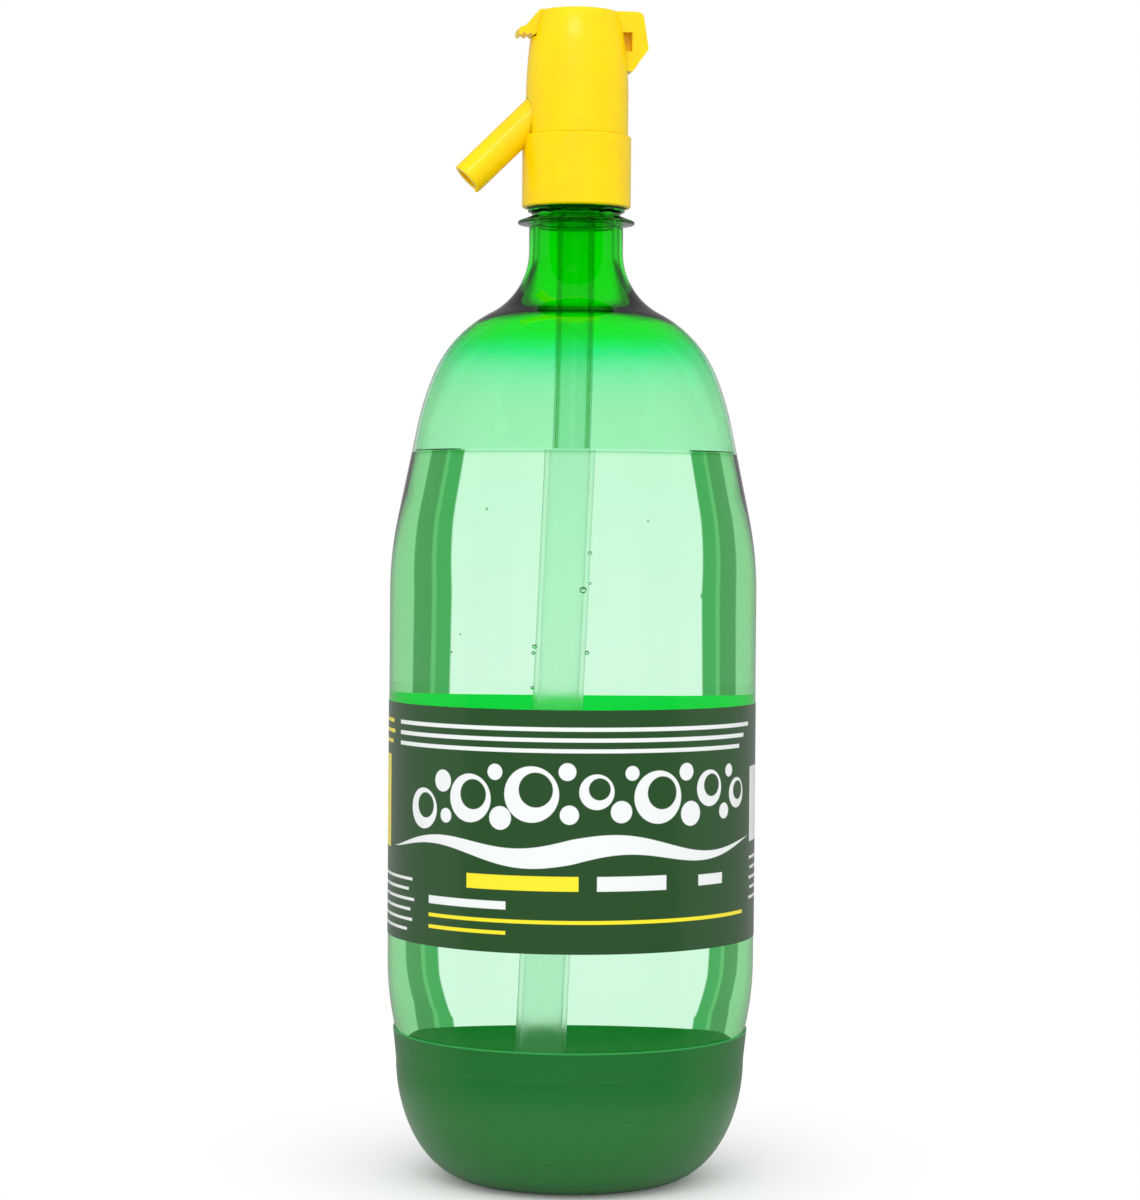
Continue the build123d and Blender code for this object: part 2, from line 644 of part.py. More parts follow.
def rocker_pin():
    """Pin that the rocker turns on."""
    blind = CHANNEL_HALF + PIN_BLIND - FIT_GAP
    return cross_rod(PIN_RADIUS, PIVOT_X, PIVOT_Z, -blind, CHANNEL_HALF + WEB_THICKNESS)


def rocker_outline():
    """The bracket's side view, from the channel's top round the knuckle to the hub."""
    elbow_z = HOOD_TOP - ELBOW_SHARE * ROCKER_DEPTH
    top = Line((ROCKER_LEFT, HOOD_TOP), (KNUCKLE_X, HOOD_TOP))
    knuckle = JernArc(top @ 1, top % 1, KNUCKLE_RADIUS, -RIGHT_ANGLE)
    rest = Polyline(
        knuckle @ 1,
        (HOOD_RADIUS + ROCKER_REACH, elbow_z),
        (TOE_X, TOE_Z),
        (TOE_X - TOE_WIDTH, TOE_Z),
        (PIVOT_X, PIVOT_Z - HUB_RADIUS),
        (ROCKER_LEFT, PIVOT_Z),
        top @ 0,
    )
    return [top, knuckle] + rest.edges()


def lever_space():
    """Room between the cheeks for the lever's root, folded and opened."""
    half = ROCKER_HALF - CHEEK
    floor = KNUCKLE_Z - KNUCKLE_RADIUS - SIDE_GAP
    folded = block(ROCKER_LEFT - OVERRUN, KNUCKLE_X, half, floor, HOOD_TOP + OVERRUN)
    barrel = cross_rod(KNUCKLE_RADIUS + SIDE_GAP, KNUCKLE_X, KNUCKLE_Z, -half, half)
    opened = block(0, ROCKER_DEPTH, half, -KNUCKLE_RADIUS - PAD_GAP, ROCKER_DEPTH)
    hinge = Pos(KNUCKLE_X, 0, KNUCKLE_Z)
    return folded + barrel + hinge * Rot(0, LEVER_FLIP_ANGLE - FULL_TURN / 2, 0) * opened


def fork():
    """Two prongs that reach from the hub to the collar, with round pads under it."""
    gap = STEM_RADIUS + SIDE_GAP
    prongs = block(0, PIVOT_X, ROCKER_HALF, PIVOT_Z - PAD_RADIUS, PIVOT_Z + PAD_RADIUS)
    prongs += cross_rod(PAD_RADIUS, 0, PIVOT_Z, -ROCKER_HALF, ROCKER_HALF)
    between = block(-PAD_RADIUS - OVERRUN, COLLAR_RADIUS, gap, PIVOT_Z - HUB_RADIUS, PIVOT_Z + HUB_RADIUS)
    return prongs - between


def rocker():
    """Bracket outside the hood, hub on the pin, fork under the collar."""
    body = plate(rocker_outline(), ROCKER_WIDTH)
    body = fillet(body.edges().filter_by(Axis.Y).sort_by(Axis.X)[-1], ELBOW_ROUND)
    body += cross_rod(HUB_RADIUS, PIVOT_X, PIVOT_Z, -ROCKER_HALF, ROCKER_HALF) + fork()
    body -= lever_space()
    socket = LEVER_ROOT_HALF + TRUNNION_LENGTH + RUNNING_GAP
    body -= cross_rod(TRUNNION_RADIUS + RUNNING_GAP, KNUCKLE_X, KNUCKLE_Z, -socket, socket)
    body -= cross_rod(PIN_RADIUS + RUNNING_GAP, PIVOT_X, PIVOT_Z, -ROCKER_WIDTH, ROCKER_WIDTH)
    window_top = HOOD_TOP - WINDOW_TOP
    window = block(WINDOW_X, WINDOW_X + WINDOW_WIDTH, ROCKER_WIDTH, window_top - WINDOW_HEIGHT, window_top)
    web = block(WINDOW_X, WINDOW_X + WINDOW_WIDTH, WINDOW_WEB / 2, window_top - WINDOW_HEIGHT, window_top)
    return body - (window - web)


def nose():
    """The lever's front: sloped face, lip and the teeth under it."""
    front = HOOD_RADIUS - hood_lean().X
    under = HOOD_TOP - LIP_DROP - LIP_THICKNESS
    outline = Polyline(
        (-front + NOSE_BACK, HOOD_TOP),
        (-front - NOSE_TOP_REACH, HOOD_TOP),
        (-front - NOSE_REACH, HOOD_TOP - NOSE_DROP),
        (-front - LIP_REACH, HOOD_TOP - LIP_DROP),
        (-front - LIP_REACH, under),
        (-front + NOSE_BACK, under),
        close=True,
    )
    body = plate(outline.edges(), ROCKER_WIDTH)
    across = body.edges().filter_by(Axis.Y).group_by(Axis.X)
    body = fillet(across[0], LIP_ROUND_SHARE * LIP_THICKNESS)
    body = fillet(body.edges().filter_by(Axis.Y).group_by(Axis.Z)[-1].sort_by(Axis.X)[0], NOSE_ROUND)
    for tooth in range(TOOTH_COUNT):
        x = -front - LIP_REACH + TOOTH_RADIUS + TOOTH_PITCH * tooth
        body += cross_rod(TOOTH_RADIUS, x, under, -ROCKER_HALF, ROCKER_HALF)
    return body


def lever():
    """Flip lever: barrel with trunnions, narrow root, channel-shaped arm and nose."""
    body = cross_rod(KNUCKLE_RADIUS, KNUCKLE_X, KNUCKLE_Z, -LEVER_ROOT_HALF, LEVER_ROOT_HALF)
    stub = LEVER_ROOT_HALF + TRUNNION_LENGTH
    body += cross_rod(TRUNNION_RADIUS, KNUCKLE_X, KNUCKLE_Z, -stub, stub)
    front = hood_lean().X - HOOD_RADIUS
    body += block(front, KNUCKLE_X, LEVER_ROOT_HALF, HOOD_TOP - LEVER_PLATE, HOOD_TOP)
    arm = block(front, LEVER_WIDE_X, ROCKER_HALF, HOOD_TOP - LEVER_FLANGE_DEPTH, HOOD_TOP)
    hollow_top = HOOD_TOP - LEVER_PLATE
    arm -= block(front - OVERRUN, LEVER_WIDE_X + OVERRUN, ROCKER_HALF - LEVER_FLANGE,
                 hollow_top - LEVER_FLANGE_DEPTH, hollow_top)
    return body + arm + nose()


NODES = {
    "bottle": bottle,
    "base_cup": base_cup,
    "label_sleeve": label_sleeve,
    "soda_water": soda_water,
    "dip_tube": dip_tube,
    "neck_gasket": neck_gasket,
    "seat_plug": seat_plug,
    "valve_body": valve_body,
    "valve_stem": valve_stem,
    "valve_disc": valve_disc,
    "disc_button": disc_button,
    "lift_collar": lift_collar,
    "valve_spring": valve_spring,
    "spring_washer": spring_washer,
    "stem_oring": stem_oring,
    "bonnet": bonnet,
    "bonnet_oring": bonnet_oring,
    "hood": hood,
    "rocker_pin": rocker_pin,
    "rocker": rocker,
    "lever": lever,
}

os.makedirs("parts", exist_ok=True)
for node, make in NODES.items():
    solid = make()
    export_step(solid, f"parts/{node}.step")
    print(node, "volume", round(solid.volume, 1), "mm3")
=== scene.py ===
"""Looks of the soda siphon: finishes, finely turned clear pieces, and the studio around it."""

import logging
from dataclasses import dataclass
from enum import Enum
from functools import reduce
from math import asin, atan2, copysign, cos, degrees, pi, radians, sin, tan, tau
from operator import or_
from typing import Any, Callable, Mapping, Sequence

import bmesh
import bpy
from bmesh.types import BMEdge, BMesh, BMVert
from bpy.types import Material, Node, NodeSocket, NodeTree, Object
from mathutils import Matrix, Vector


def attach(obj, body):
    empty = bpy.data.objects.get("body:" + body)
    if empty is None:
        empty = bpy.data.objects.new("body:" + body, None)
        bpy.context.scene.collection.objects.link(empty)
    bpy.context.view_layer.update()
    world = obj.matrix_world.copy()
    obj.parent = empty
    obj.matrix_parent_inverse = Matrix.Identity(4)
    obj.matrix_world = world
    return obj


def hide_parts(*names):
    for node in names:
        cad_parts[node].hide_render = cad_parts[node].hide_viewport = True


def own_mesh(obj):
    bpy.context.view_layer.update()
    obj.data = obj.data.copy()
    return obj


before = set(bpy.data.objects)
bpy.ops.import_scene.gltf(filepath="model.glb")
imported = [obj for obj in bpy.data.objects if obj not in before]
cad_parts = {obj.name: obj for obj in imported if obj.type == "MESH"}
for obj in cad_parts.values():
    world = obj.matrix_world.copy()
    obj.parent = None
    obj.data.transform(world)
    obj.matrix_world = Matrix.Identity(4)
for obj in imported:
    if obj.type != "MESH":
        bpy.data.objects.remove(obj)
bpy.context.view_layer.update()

LOG = logging.getLogger("soda_siphon")
MM = 0.001
RIGHT_ANGLE = 90.0
AXIS = {"cent": (0.0, 0.0, 0.0), "axis": (0.0, 0.0, 1.0)}

# Sizes that several pieces share: degrees, then millimetres.
FRONT_AZIMUTH = -9.0
CRISP_EDGE = 35.0
FILL_LEVEL = 204.9
MENISCUS = 0.3
FILL_EDGE = FILL_LEVEL + MENISCUS
LABEL_BOTTOM = 69.6
LABEL_RADIUS = 52.03
ROUND_STEPS = 224

WATER_IOR = 1.333
Pair = tuple[float, float]
Colour = tuple[float, float, float]
Triple = tuple[float, float, float]
Stops = Sequence[tuple[float, Colour]]
Inputs = Mapping[Any, Any] | None
WHITE: Colour = (1.0, 1.0, 1.0)


class Body(Enum):
    """The moving body that the turned pieces ride on."""

    SIPHON = "siphon"


class Slot(Enum):
    """The record's material slots of the turned pieces."""

    GREEN_PET = "green_pet"
    LABEL_FILM = "label_film"
    WATER = "water"
    NATURAL_TUBE = "natural_tube"


def operator_of(operation: str, swapped: bool = False) -> Callable[..., "Value"]:
    """Make one of Value's operators.

    Args:
        operation: The Math node's operation.
        swapped: True if the Value comes second.

    Returns:
        The method.
    """

    def method(self: "Value", other: Any = 0.0) -> "Value":
        """Join this and another number or Value by a Math node."""
        pair = (other, self) if swapped else (self, other)
        return self.tree.value("ShaderNodeMath", dict(enumerate(pair)), operation=operation)

    return method


class Value:
    """A number that varies over a surface. Python's operators add Math nodes to its tree."""

    __add__ = operator_of("ADD")
    __sub__ = operator_of("SUBTRACT")
    __rsub__ = operator_of("SUBTRACT", swapped=True)
    __mul__ = __rmul__ = operator_of("MULTIPLY")
    __truediv__ = operator_of("DIVIDE")
    __or__ = operator_of("MAXIMUM")
    __and__ = operator_of("MINIMUM")
    __abs__ = operator_of("ABSOLUTE")
    sine = operator_of("SINE")
    root = operator_of("SQRT")
    angle_to = operator_of("ARCTAN2")

    def __init__(self, tree: "Tree", socket: NodeSocket) -> None:
        """Wrap an output socket of this tree."""
        self.tree = tree
        self.socket = socket

    def clamped(self) -> "Value":
        """The value held between 0 and 1."""
        return self.tree.value("ShaderNodeClamp", {0: self})

    def below(self, limit: Any, soft: float) -> "Value":
        """A mask that falls from 1 to 0, over a width of soft, where this grows past limit."""
        return ((limit - self) / soft + 0.5).clamped()

    def ramp(self, low: float, high: float) -> "Value":
        """A smooth rise from 0 at low to 1 at high."""
        inputs = {"Value": self, "From Min": low, "From Max": high}
        return self.tree.value("ShaderNodeMapRange", inputs, interpolation_type="SMOOTHSTEP")


@dataclass(frozen=True)
class Grain:
    """Cloudy noise: features per metre, octaves, and how much finer it is across and upward."""

    scale: float
    octaves: float = 2.0
    across: float = 1.0
    upward: float = 1.0


class Tree:
    """A node tree under construction."""

    def __init__(self, tree: NodeTree) -> None:
        """Start from an empty tree."""
        self.tree = tree
        tree.nodes.clear()

    def add(self, kind: str, inputs: Inputs = None, **settings: Any) -> Node:
        """Add a node.

        Args:
            kind: The node's type.
            inputs: Values or links of its sockets, by name or number.
            settings: Its own settings, set first.

        Returns:
            The new node.
        """
        node = self.tree.nodes.new(kind)
        for name, setting in settings.items():
            setattr(node, name, setting)
        for key, item in (inputs or {}).items():
            source = item.socket if isinstance(item, Value) else item
            if isinstance(source, NodeSocket):
                self.tree.links.new(source, node.inputs[key])
            elif node.inputs[key].type == "RGBA":
                node.inputs[key].default_value = (*source, 1.0)
            else:
                node.inputs[key].default_value = source
        return node

    def tint(self, share: Value, stops: Stops) -> NodeSocket:
        """A colour ramp.

        Args:
            share: Where on the ramp, from 0 to 1.
            stops: Place and colour of each stop, in rising order.

        Returns:
            The colour.
        """
        node = self.add("ShaderNodeValToRGB", {"Fac": share})
        elements = node.color_ramp.elements
        while len(elements) < len(stops):
            elements.new(1.0)
        for element, (place, colour) in zip(elements, stops):
            element.position, element.color = place, (*colour, 1.0)
        return node.outputs[0]

    def value(self, kind: str, inputs: Inputs, **settings: Any) -> Value:
        """Add a node and wrap its first output."""
        return Value(self, self.add(kind, inputs, **settings).outputs[0])

    def place(self) -> NodeSocket:
        """Object coordinates, in metres."""
        return self.add("ShaderNodeTexCoord").outputs["Object"]

    def parts(self, vector: NodeSocket) -> list[Value]:
        """The three numbers of a vector."""
        node = self.add("ShaderNodeSeparateXYZ", {0: vector})
        return [Value(self, part) for part in node.outputs]

    def noise(self, at: NodeSocket, grain: Grain) -> Value:
        """Cloudy noise around one half.

        Args:
            at: Where it is read.
            grain: How fine it is.

        Returns:
            The noise.
        """
        if (grain.across, grain.upward) != (1.0, 1.0):
            scale = (grain.across, grain.across, grain.upward)
            at = self.add("ShaderNodeMapping", {"Vector": at, "Scale": scale}).outputs[0]
        inputs = {"Vector": at, "Scale": grain.scale, "Detail": grain.octaves}
        return self.value("ShaderNodeTexNoise", inputs)

    def blend(self, mask: Any, first: Any, second: Any) -> NodeSocket:
        """A colour that goes from first to second with the mask."""
        inputs = {"Factor": mask, 6: first, 7: second}
        return self.add("ShaderNodeMix", inputs, data_type="RGBA").outputs[2]

    def bump(self, height: Value, strength: float, depth: float) -> NodeSocket:
        """Normal of small relief: the share of it that shows, and its depth in millimetres."""
        inputs = {"Height": height, "Strength": strength, "Distance": depth * MM}
        return self.add("ShaderNodeBump", inputs).outputs[0]

    def surface(self, shader: Node) -> None:
        """Make a shader the material's surface."""
        self.add("ShaderNodeOutputMaterial", {"Surface": shader.outputs[0]})


def blank(name: str) -> tuple[Material, Tree]:
    """Make a material.

    Args:
        name: Its name.

    Returns:
        The material and its empty tree.
    """
    made = bpy.data.materials.new(name)
    made.use_nodes = True
    return made, Tree(made.node_tree)


@dataclass(frozen=True)
class Finish:
    """A material: its name, and what its principled shader has all over."""

    name: str
    roughness: float
    ior: float = 1.5
    transmission: float = 0.0
    metallic: float = 0.0
    specular: float = 0.5
    subsurface: float = 0.0
    subsurface_radius: Colour = WHITE
    gloss_span: float = 0.1

    def material(self) -> Material:
        """Build the material.

        Returns:
            The finished material.
        """
        made, tree = blank(self.name)
        constants: dict[str, Any] = {
            "Roughness": self.roughness,
            "IOR": self.ior,
            "Transmission Weight": self.transmission,
            "Metallic": self.metallic,
            "Specular IOR Level": self.specular,
            "Subsurface Weight": self.subsurface,
            "Subsurface Radius": self.subsurface_radius,
            "Subsurface Scale": MM,
        }
        tree.surface(tree.add("ShaderNodeBsdfPrincipled", constants | self.varying(tree)))
        return made

    def gloss(self, noise: Value) -> Value:
        """Roughness that wanders with noise."""
        return noise * self.gloss_span + (self.roughness - self.gloss_span / 2)

    def varying(self, tree: Tree) -> dict[str, Any]:
        """What changes over the surface, by the names of the shader's sockets."""
        raise NotImplementedError


@dataclass(frozen=True)
class GreenPet(Finish):
    """Clear green blown plastic, thin on the body and thick and deep green at the neck."""

    crossings: float = 1.0
    uneven: float = 2.0
    streaks: Grain = Grain(160.0, upward=0.08)
    ripples: Grain = Grain(60.0, 1.0)
    relief: Pair = (0.25, 0.05)
    low_z: float = 140.0
    high_z: float = 290.0
    stops: Stops = (
        (200.0, (0.63, 0.99, 0.74)),
        (215.0, (0.60, 0.99, 0.71)),
        (222.0, (0.57, 0.99, 0.69)),
        (229.0, (0.46, 0.99, 0.64)),
        (233.5, (0.26, 0.985, 0.53)),
        (236.5, (0.08, 0.98, 0.38)),
        (240.0, (0.015, 0.97, 0.14)),
        (244.0, (0.006, 0.95, 0.03)),
        (250.0, (0.004, 0.88, 0.006)),
        (269.9, (0.004, 0.80, 0.005)),
        # painted reflection: a dark band on the support ring, for the dark ceiling that its top
        # mirrors
        (270.2, (0.10, 0.24, 0.08)),
        (272.2, (0.10, 0.24, 0.08)),
        (272.6, (0.004, 0.70, 0.005)),
    )

    def varying(self, tree: Tree) -> dict[str, Any]:
        """Tint by height with faint streaks and a painted dark reflection on the support ring, and
        a surface that isn't quite even.

        Args:
            tree: The material's tree.

        Returns:
            The shader's colour and normal.
        """
        at = tree.place()
        span = self.high_z - self.low_z
        streak = (tree.noise(at, self.streaks) - 0.5) * (self.uneven * MM)
        share = (tree.parts(at)[2] + streak - self.low_z * MM) / (span * MM)
        stops = [
            ((height - self.low_z) / span, tuple(part**self.crossings for part in colour))
            for height, colour in self.stops
        ]
        return {
            "Base Color": tree.tint(share, stops),
            "Normal": tree.bump(tree.noise(at, self.ripples), *self.relief),
        }


@dataclass(frozen=True)
class WetPet(GreenPet):
    """The same plastic against the fill, with a painted dark line at the fill's edge, painted shade
    where the fill meets it.

    Only its outer face tints the light, so the tint counts twice.
    """

    crossings: float = 2.0
    uneven: float = 0.1
    stops: Stops = (
        (150.0, (0.81, 0.995, 0.865)),
        (200.0, (0.76, 0.995, 0.83)),
        (204.4, (0.75, 0.995, 0.825)),
        # painted shade: a dark line from 204.6 mm up to the fill's edge
        (204.6, (0.35, 0.80, 0.45)),
    )


@dataclass(frozen=True)
class Contact:
    """Faces that touch another clear piece, where light goes straight on."""

    name: str

    def material(self) -> Material:
        """Build the material.

        Returns:
            A material that lets everything through.
        """
        made, tree = blank(self.name)
        tree.surface(tree.add("ShaderNodeBsdfTransparent", {"Color": WHITE}))
        return made


@dataclass(frozen=True)
class Cloudy(Finish):
    """A finish whose colour and gloss wander like clouds, some with fine relief or a painted glow.
    """

    colour: Colour = WHITE
    cloud_colour: Colour = WHITE
    clouds: Grain = Grain(300.0, 3.0)
    cloud_range: Pair | None = None
    texture: Grain | None = None
    relief: Pair = (0.3, 0.02)
    # painted light: an emission colour that stands in for light from elsewhere; it is no lamp
    glow: Colour | None = None

    def varying(self, tree: Tree) -> dict[str, Any]:
        """The clouds, the relief and the painted glow.

        Args:
            tree: The material's tree.

        Returns:
            Values or links of the shader's sockets.
        """
        at = tree.place()
        cloud = tree.noise(at, self.clouds)
        mask = cloud.ramp(*self.cloud_range) if self.cloud_range else cloud
        sockets: dict[str, Any] = {"Base Color": tree.blend(mask, self.colour, self.cloud_colour)}
        if self.gloss_span:
            sockets["Roughness"] = self.gloss(cloud)
        if self.texture:
            sockets["Normal"] = tree.bump(tree.noise(at, self.texture), *self.relief)
        # painted glow
        if self.glow:
            sockets |= {"Emission Color": self.glow, "Emission Strength": 1.0}
        return sockets


@dataclass(frozen=True)
class ClearWater(Cloudy):
    """Still soda water with a trace of cloudiness."""

    gloss_span: float = 0.0
    colour: Colour = (0.97, 1.0, 0.98)
    clouds: Grain = Grain(40.0)


@dataclass(frozen=True)
class NaturalTube(Cloudy):
    """Milky natural plastic of the dip tube, with drawing lines along it."""

    colour: Colour = (0.86, 0.99, 0.90)
    cloud_colour: Colour = (0.90, 0.995, 0.93)
    clouds: Grain = Grain(900.0, upward=0.02)


@dataclass(frozen=True)
class Moulding(Cloudy):
    """Coloured moulded plastic with a fine surface."""

    gloss_span: float = 0.14
    clouds: Grain = Grain(70.0, 3.0)
    cloud_range: Pair | None = (0.35, 0.7)
    texture: Grain | None = Grain(2600.0)


@dataclass(frozen=True)
class CupMoulding(Finish):
    """Opaque green moulding with fine turning rings, small scuffs, pale specks, a rim painted
    lighter as a painted highlight, and an inside painted brighter as painted light.
    """

    gloss_span: float = 0.16
    colour: Colour = (0.006, 0.150, 0.019)
    worn: Colour = (0.022, 0.20, 0.042)
    # painted light: the inside is painted brighter than the outside, for light that reaches it
    inner: Colour = (0.06, 0.60, 0.13)
    inner_soft: float = 0.002
    # painted highlight: the cup's top edge, above rim_z, is painted lighter for the light its thin
    # edge catches
    rim_highlight: Colour = (0.025, 0.32, 0.065)
    rim_z: float = 42.2
    rim_soft: float = 0.15
    clouds: Grain = Grain(45.0, 4.0)
    rings: Grain = Grain(26.0, 3.0, 0.6, 30.0)
    ring_range: Pair = (0.45, 0.75)
    ring_wear: float = 0.15
    ring_gloss: float = 0.08
    scuffs: Grain = Grain(70.0, upward=9.0)
    scuff_range: Pair = (0.7, 0.78)
    scuff_wear: float = 0.3
    specks: Grain = Grain(420.0, 1.0)
    speck_range: Pair = (0.78, 0.82)
    relief: Pair = (0.15, 0.02)

    def varying(self, tree: Tree) -> dict[str, Any]:
        """The wear outside, the inside painted brighter as painted light, and the rim's painted
        highlight.

        Args:
            tree: The material's tree.

        Returns:
            The shader's colour, roughness and normal.
        """
        at = tree.place()
        x, y, z = tree.parts(at)
        normal = tree.parts(tree.add("ShaderNodeNewGeometry").outputs["Normal"])
        inward = (x * normal[0] + y * normal[1]).below(0.0, self.inner_soft)
        rings = tree.noise(at, self.rings)
        specks = tree.noise(at, self.specks).ramp(*self.speck_range)
        scuffs = tree.noise(at, self.scuffs).ramp(*self.scuff_range)
        turned = rings.ramp(*self.ring_range)
        wear = (self.ring_wear * turned + self.scuff_wear * scuffs + specks).clamped()
        side = tree.blend(wear, self.colour, self.worn)
        # painted highlight: lighter colour above rim_z
        outer = tree.blend(z.below(self.rim_z * MM, self.rim_soft * MM), self.rim_highlight, side)
        return {
            # painted light: inward faces take the brighter inner colour
            "Base Color": tree.blend(inward, outer, self.inner),
            "Roughness": self.gloss(tree.noise(at, self.clouds)) + (rings - 0.5) * self.ring_gloss,
            "Normal": tree.bump(rings, *self.relief),
        }


@dataclass(frozen=True)
class Bar:
    """A printed bar with square ends, in millimetres round and up the label."""

    middle: float
    half_length: float
    height: float
    half_thickness: float


def ruled(top: float, pitch: float, half_thickness: float, *ends: Pair) -> list[Bar]:
    """Thin level rules, one below the other.

    Args:
        top: Height of the top one.
        pitch: From one to the next.
        half_thickness: Half their thickness.
        ends: Start and end of each.

    Returns:
        The rules as bars.
    """
    return [
        Bar((start + end) / 2, (end - start) / 2, top - row * pitch, half_thickness)
        for row, (start, end) in enumerate(ends)
    ]


@dataclass
class Sheet:
    """Millimetres round and up the label, and how soft the edges of its print are."""

    across: Value
    up: Value
    soft: float

    def bar(self, bar: Bar) -> Value:
        """Mask of a bar."""
        length = abs(self.across - bar.middle).below(bar.half_length, self.soft)
        return length & abs(self.up - bar.height).below(bar.half_thickness, self.soft)

    def disc(self, middle: float, height: float, radius: float) -> Value:
        """Mask of a disc."""
        right, rise = self.across - middle, self.up - height
        return (right * right + rise * rise).root().below(radius, self.soft)


@dataclass(frozen=True)
class LabelPrint(Finish):
    """Printed outside of the label: a dark green field, with grey mixed in as a painted reflection
    of the room, plain rules, a wave and bubbles.

    Dots and rings are a middle, a height and a radius. A ring's hole is off its middle.
    """

    # painted reflection: the field's dark green print is lightened with grey for the room that the
    # glossy film mirrors
    field_with_sheen: Colour = (0.022, 0.078, 0.022)
    fleck_with_sheen: Colour = (0.026, 0.086, 0.026)
    white: Colour = (0.82, 0.85, 0.84)
    yellow: Colour = (0.93, 0.78, 0.02)
    flecks: Grain = Grain(1800.0)
    ripples: Grain = Grain(55.0, upward=0.3)
    relief: Pair = (0.2, 0.1)
    panels: int = 2
    soft: float = 0.18
    white_bars: tuple[Bar, ...] = (
        *ruled(60.6, 2.9, 0.55, (-60.0, 64.0), (-60.0, 60.0), (-60.0, 57.0)),
        *ruled(17.5, 2.8, 0.4, *((-80.0, end) for end in (-52, -54, -51, -53, -52, -55))),
        *ruled(23.0, 2.8, 0.4, *((start, 80.0) for start in (66, 67, 66, 67, 66))),
        Bar(17.0, 10.0, 19.0, 2.0),
        Bar(43.0, 5.0, 19.0, 1.5),
        Bar(-31.0, 13.0, 12.8, 1.1),
        Bar(73.0, 7.0, 38.0, 10.5),
    )
    yellow_bars: tuple[Bar, ...] = (
        *ruled(8.6, 3.2, 0.5, (-44.0, 60.0), (-44.0, -18.0)),
        *ruled(60.6, 2.9, 0.5, (-80.0, -66.0), (-80.0, -65.0), (-80.0, -67.0)),
        Bar(-14.0, 16.0, 19.0, 2.0),
        Bar(-75.0, 5.5, 38.0, 13.0),
    )
    dots: tuple[Triple, ...] = (
        (-38.6, 45.6, 3.0), (-37.4, 36.2, 2.0), (-21.4, 48.8, 2.2), (-19.8, 36.4, 3.2),
        (-1.2, 49.2, 2.4), (-0.6, 37.6, 2.6), (13.6, 38.4, 3.0), (16.6, 48.8, 2.0),
        (33.4, 48.8, 2.4), (35.0, 37.4, 3.4), (48.6, 37.4, 2.2), (51.0, 48.4, 1.8),
    )
    rings: tuple[Triple, ...] = (
        (-46.5, 37.6, 5.6), (-29.2, 41.4, 6.6), (-11.0, 43.0, 7.6), (6.8, 43.8, 4.8),
        (24.4, 42.2, 7.2), (42.2, 44.0, 5.0), (55.4, 42.0, 4.2),
    )
    hole_share: float = 0.62
    hole_shift_share: float = 0.16
    wave_length: float = 54.5
    wave_swing: float = 1.9
    wave_height: float = 27.6
    wave_half: float = 3.4
    wave_reach: float = 64.0

    def varying(self, tree: Tree) -> dict[str, Any]:
        """The print, from the angle round the bottle and the height on the label.

        Args:
            tree: The material's tree.

        Returns:
            The shader's colour, roughness and normal.
        """
        at = tree.place()
        x, y, z = tree.parts(at)
        turn = x.angle_to(y * -1.0) - radians(FRONT_AZIMUTH)
        panel = pi / self.panels
        folded = tree.value("ShaderNodeMath", {0: turn, 1: panel, 2: -panel}, operation="WRAP")
        sheet = Sheet(folded * LABEL_RADIUS, z / MM - LABEL_BOTTOM, self.soft)
        white = reduce(or_, [
            *(sheet.bar(bar) for bar in self.white_bars),
            *(sheet.disc(*dot) for dot in self.dots),
            *(self.ring(sheet, *ring) for ring in self.rings),
            self.wave(sheet),
        ])
        yellow = reduce(or_, [sheet.bar(bar) for bar in self.yellow_bars])
        fleck = tree.noise(at, self.flecks)
        # painted reflection: the grey in the field's colour
        field_with_sheen = tree.blend(fleck * 0.5, self.field_with_sheen, self.fleck_with_sheen)
        return {
            "Base Color": tree.blend(yellow, tree.blend(white, field_with_sheen, self.white), self.yellow),
            "Roughness": self.gloss(fleck),
            "Normal": tree.bump(tree.noise(at, self.ripples), *self.relief),
        }

    def ring(self, sheet: Sheet, middle: float, height: float, radius: float) -> Value:
        """Mask of a disc with a hole above and to the right of its middle."""
        shift, hole = self.hole_shift_share * radius, self.hole_share * radius
        return sheet.disc(middle, height, radius) - sheet.disc(middle + shift, height + shift, hole)

    def wave(self, sheet: Sheet) -> Value:
        """A ribbon that rises and falls three times on a panel and thins towards its ends.

        Args:
            sheet: The label's sheet.

        Returns:
            Its mask.
        """
        swing = self.wave_swing * (sheet.across * (tau / self.wave_length)).sine()
        reach = (sheet.across * sheet.across + 1.0).root()
        half = self.wave_half - reach * (self.wave_half / self.wave_reach)
        return abs(sheet.up - (swing + self.wave_height)).below(half, self.soft)


@dataclass(frozen=True)
class Run:
    """One run of an outline: a straight length, or an arc's radius with its turn in degrees."""

    size: float
    turn: float = 0.0
    steps: int = 1

    def back(self) -> "Run":
        """The same run walked the other way."""
        return Run(self.size, -self.turn, self.steps)


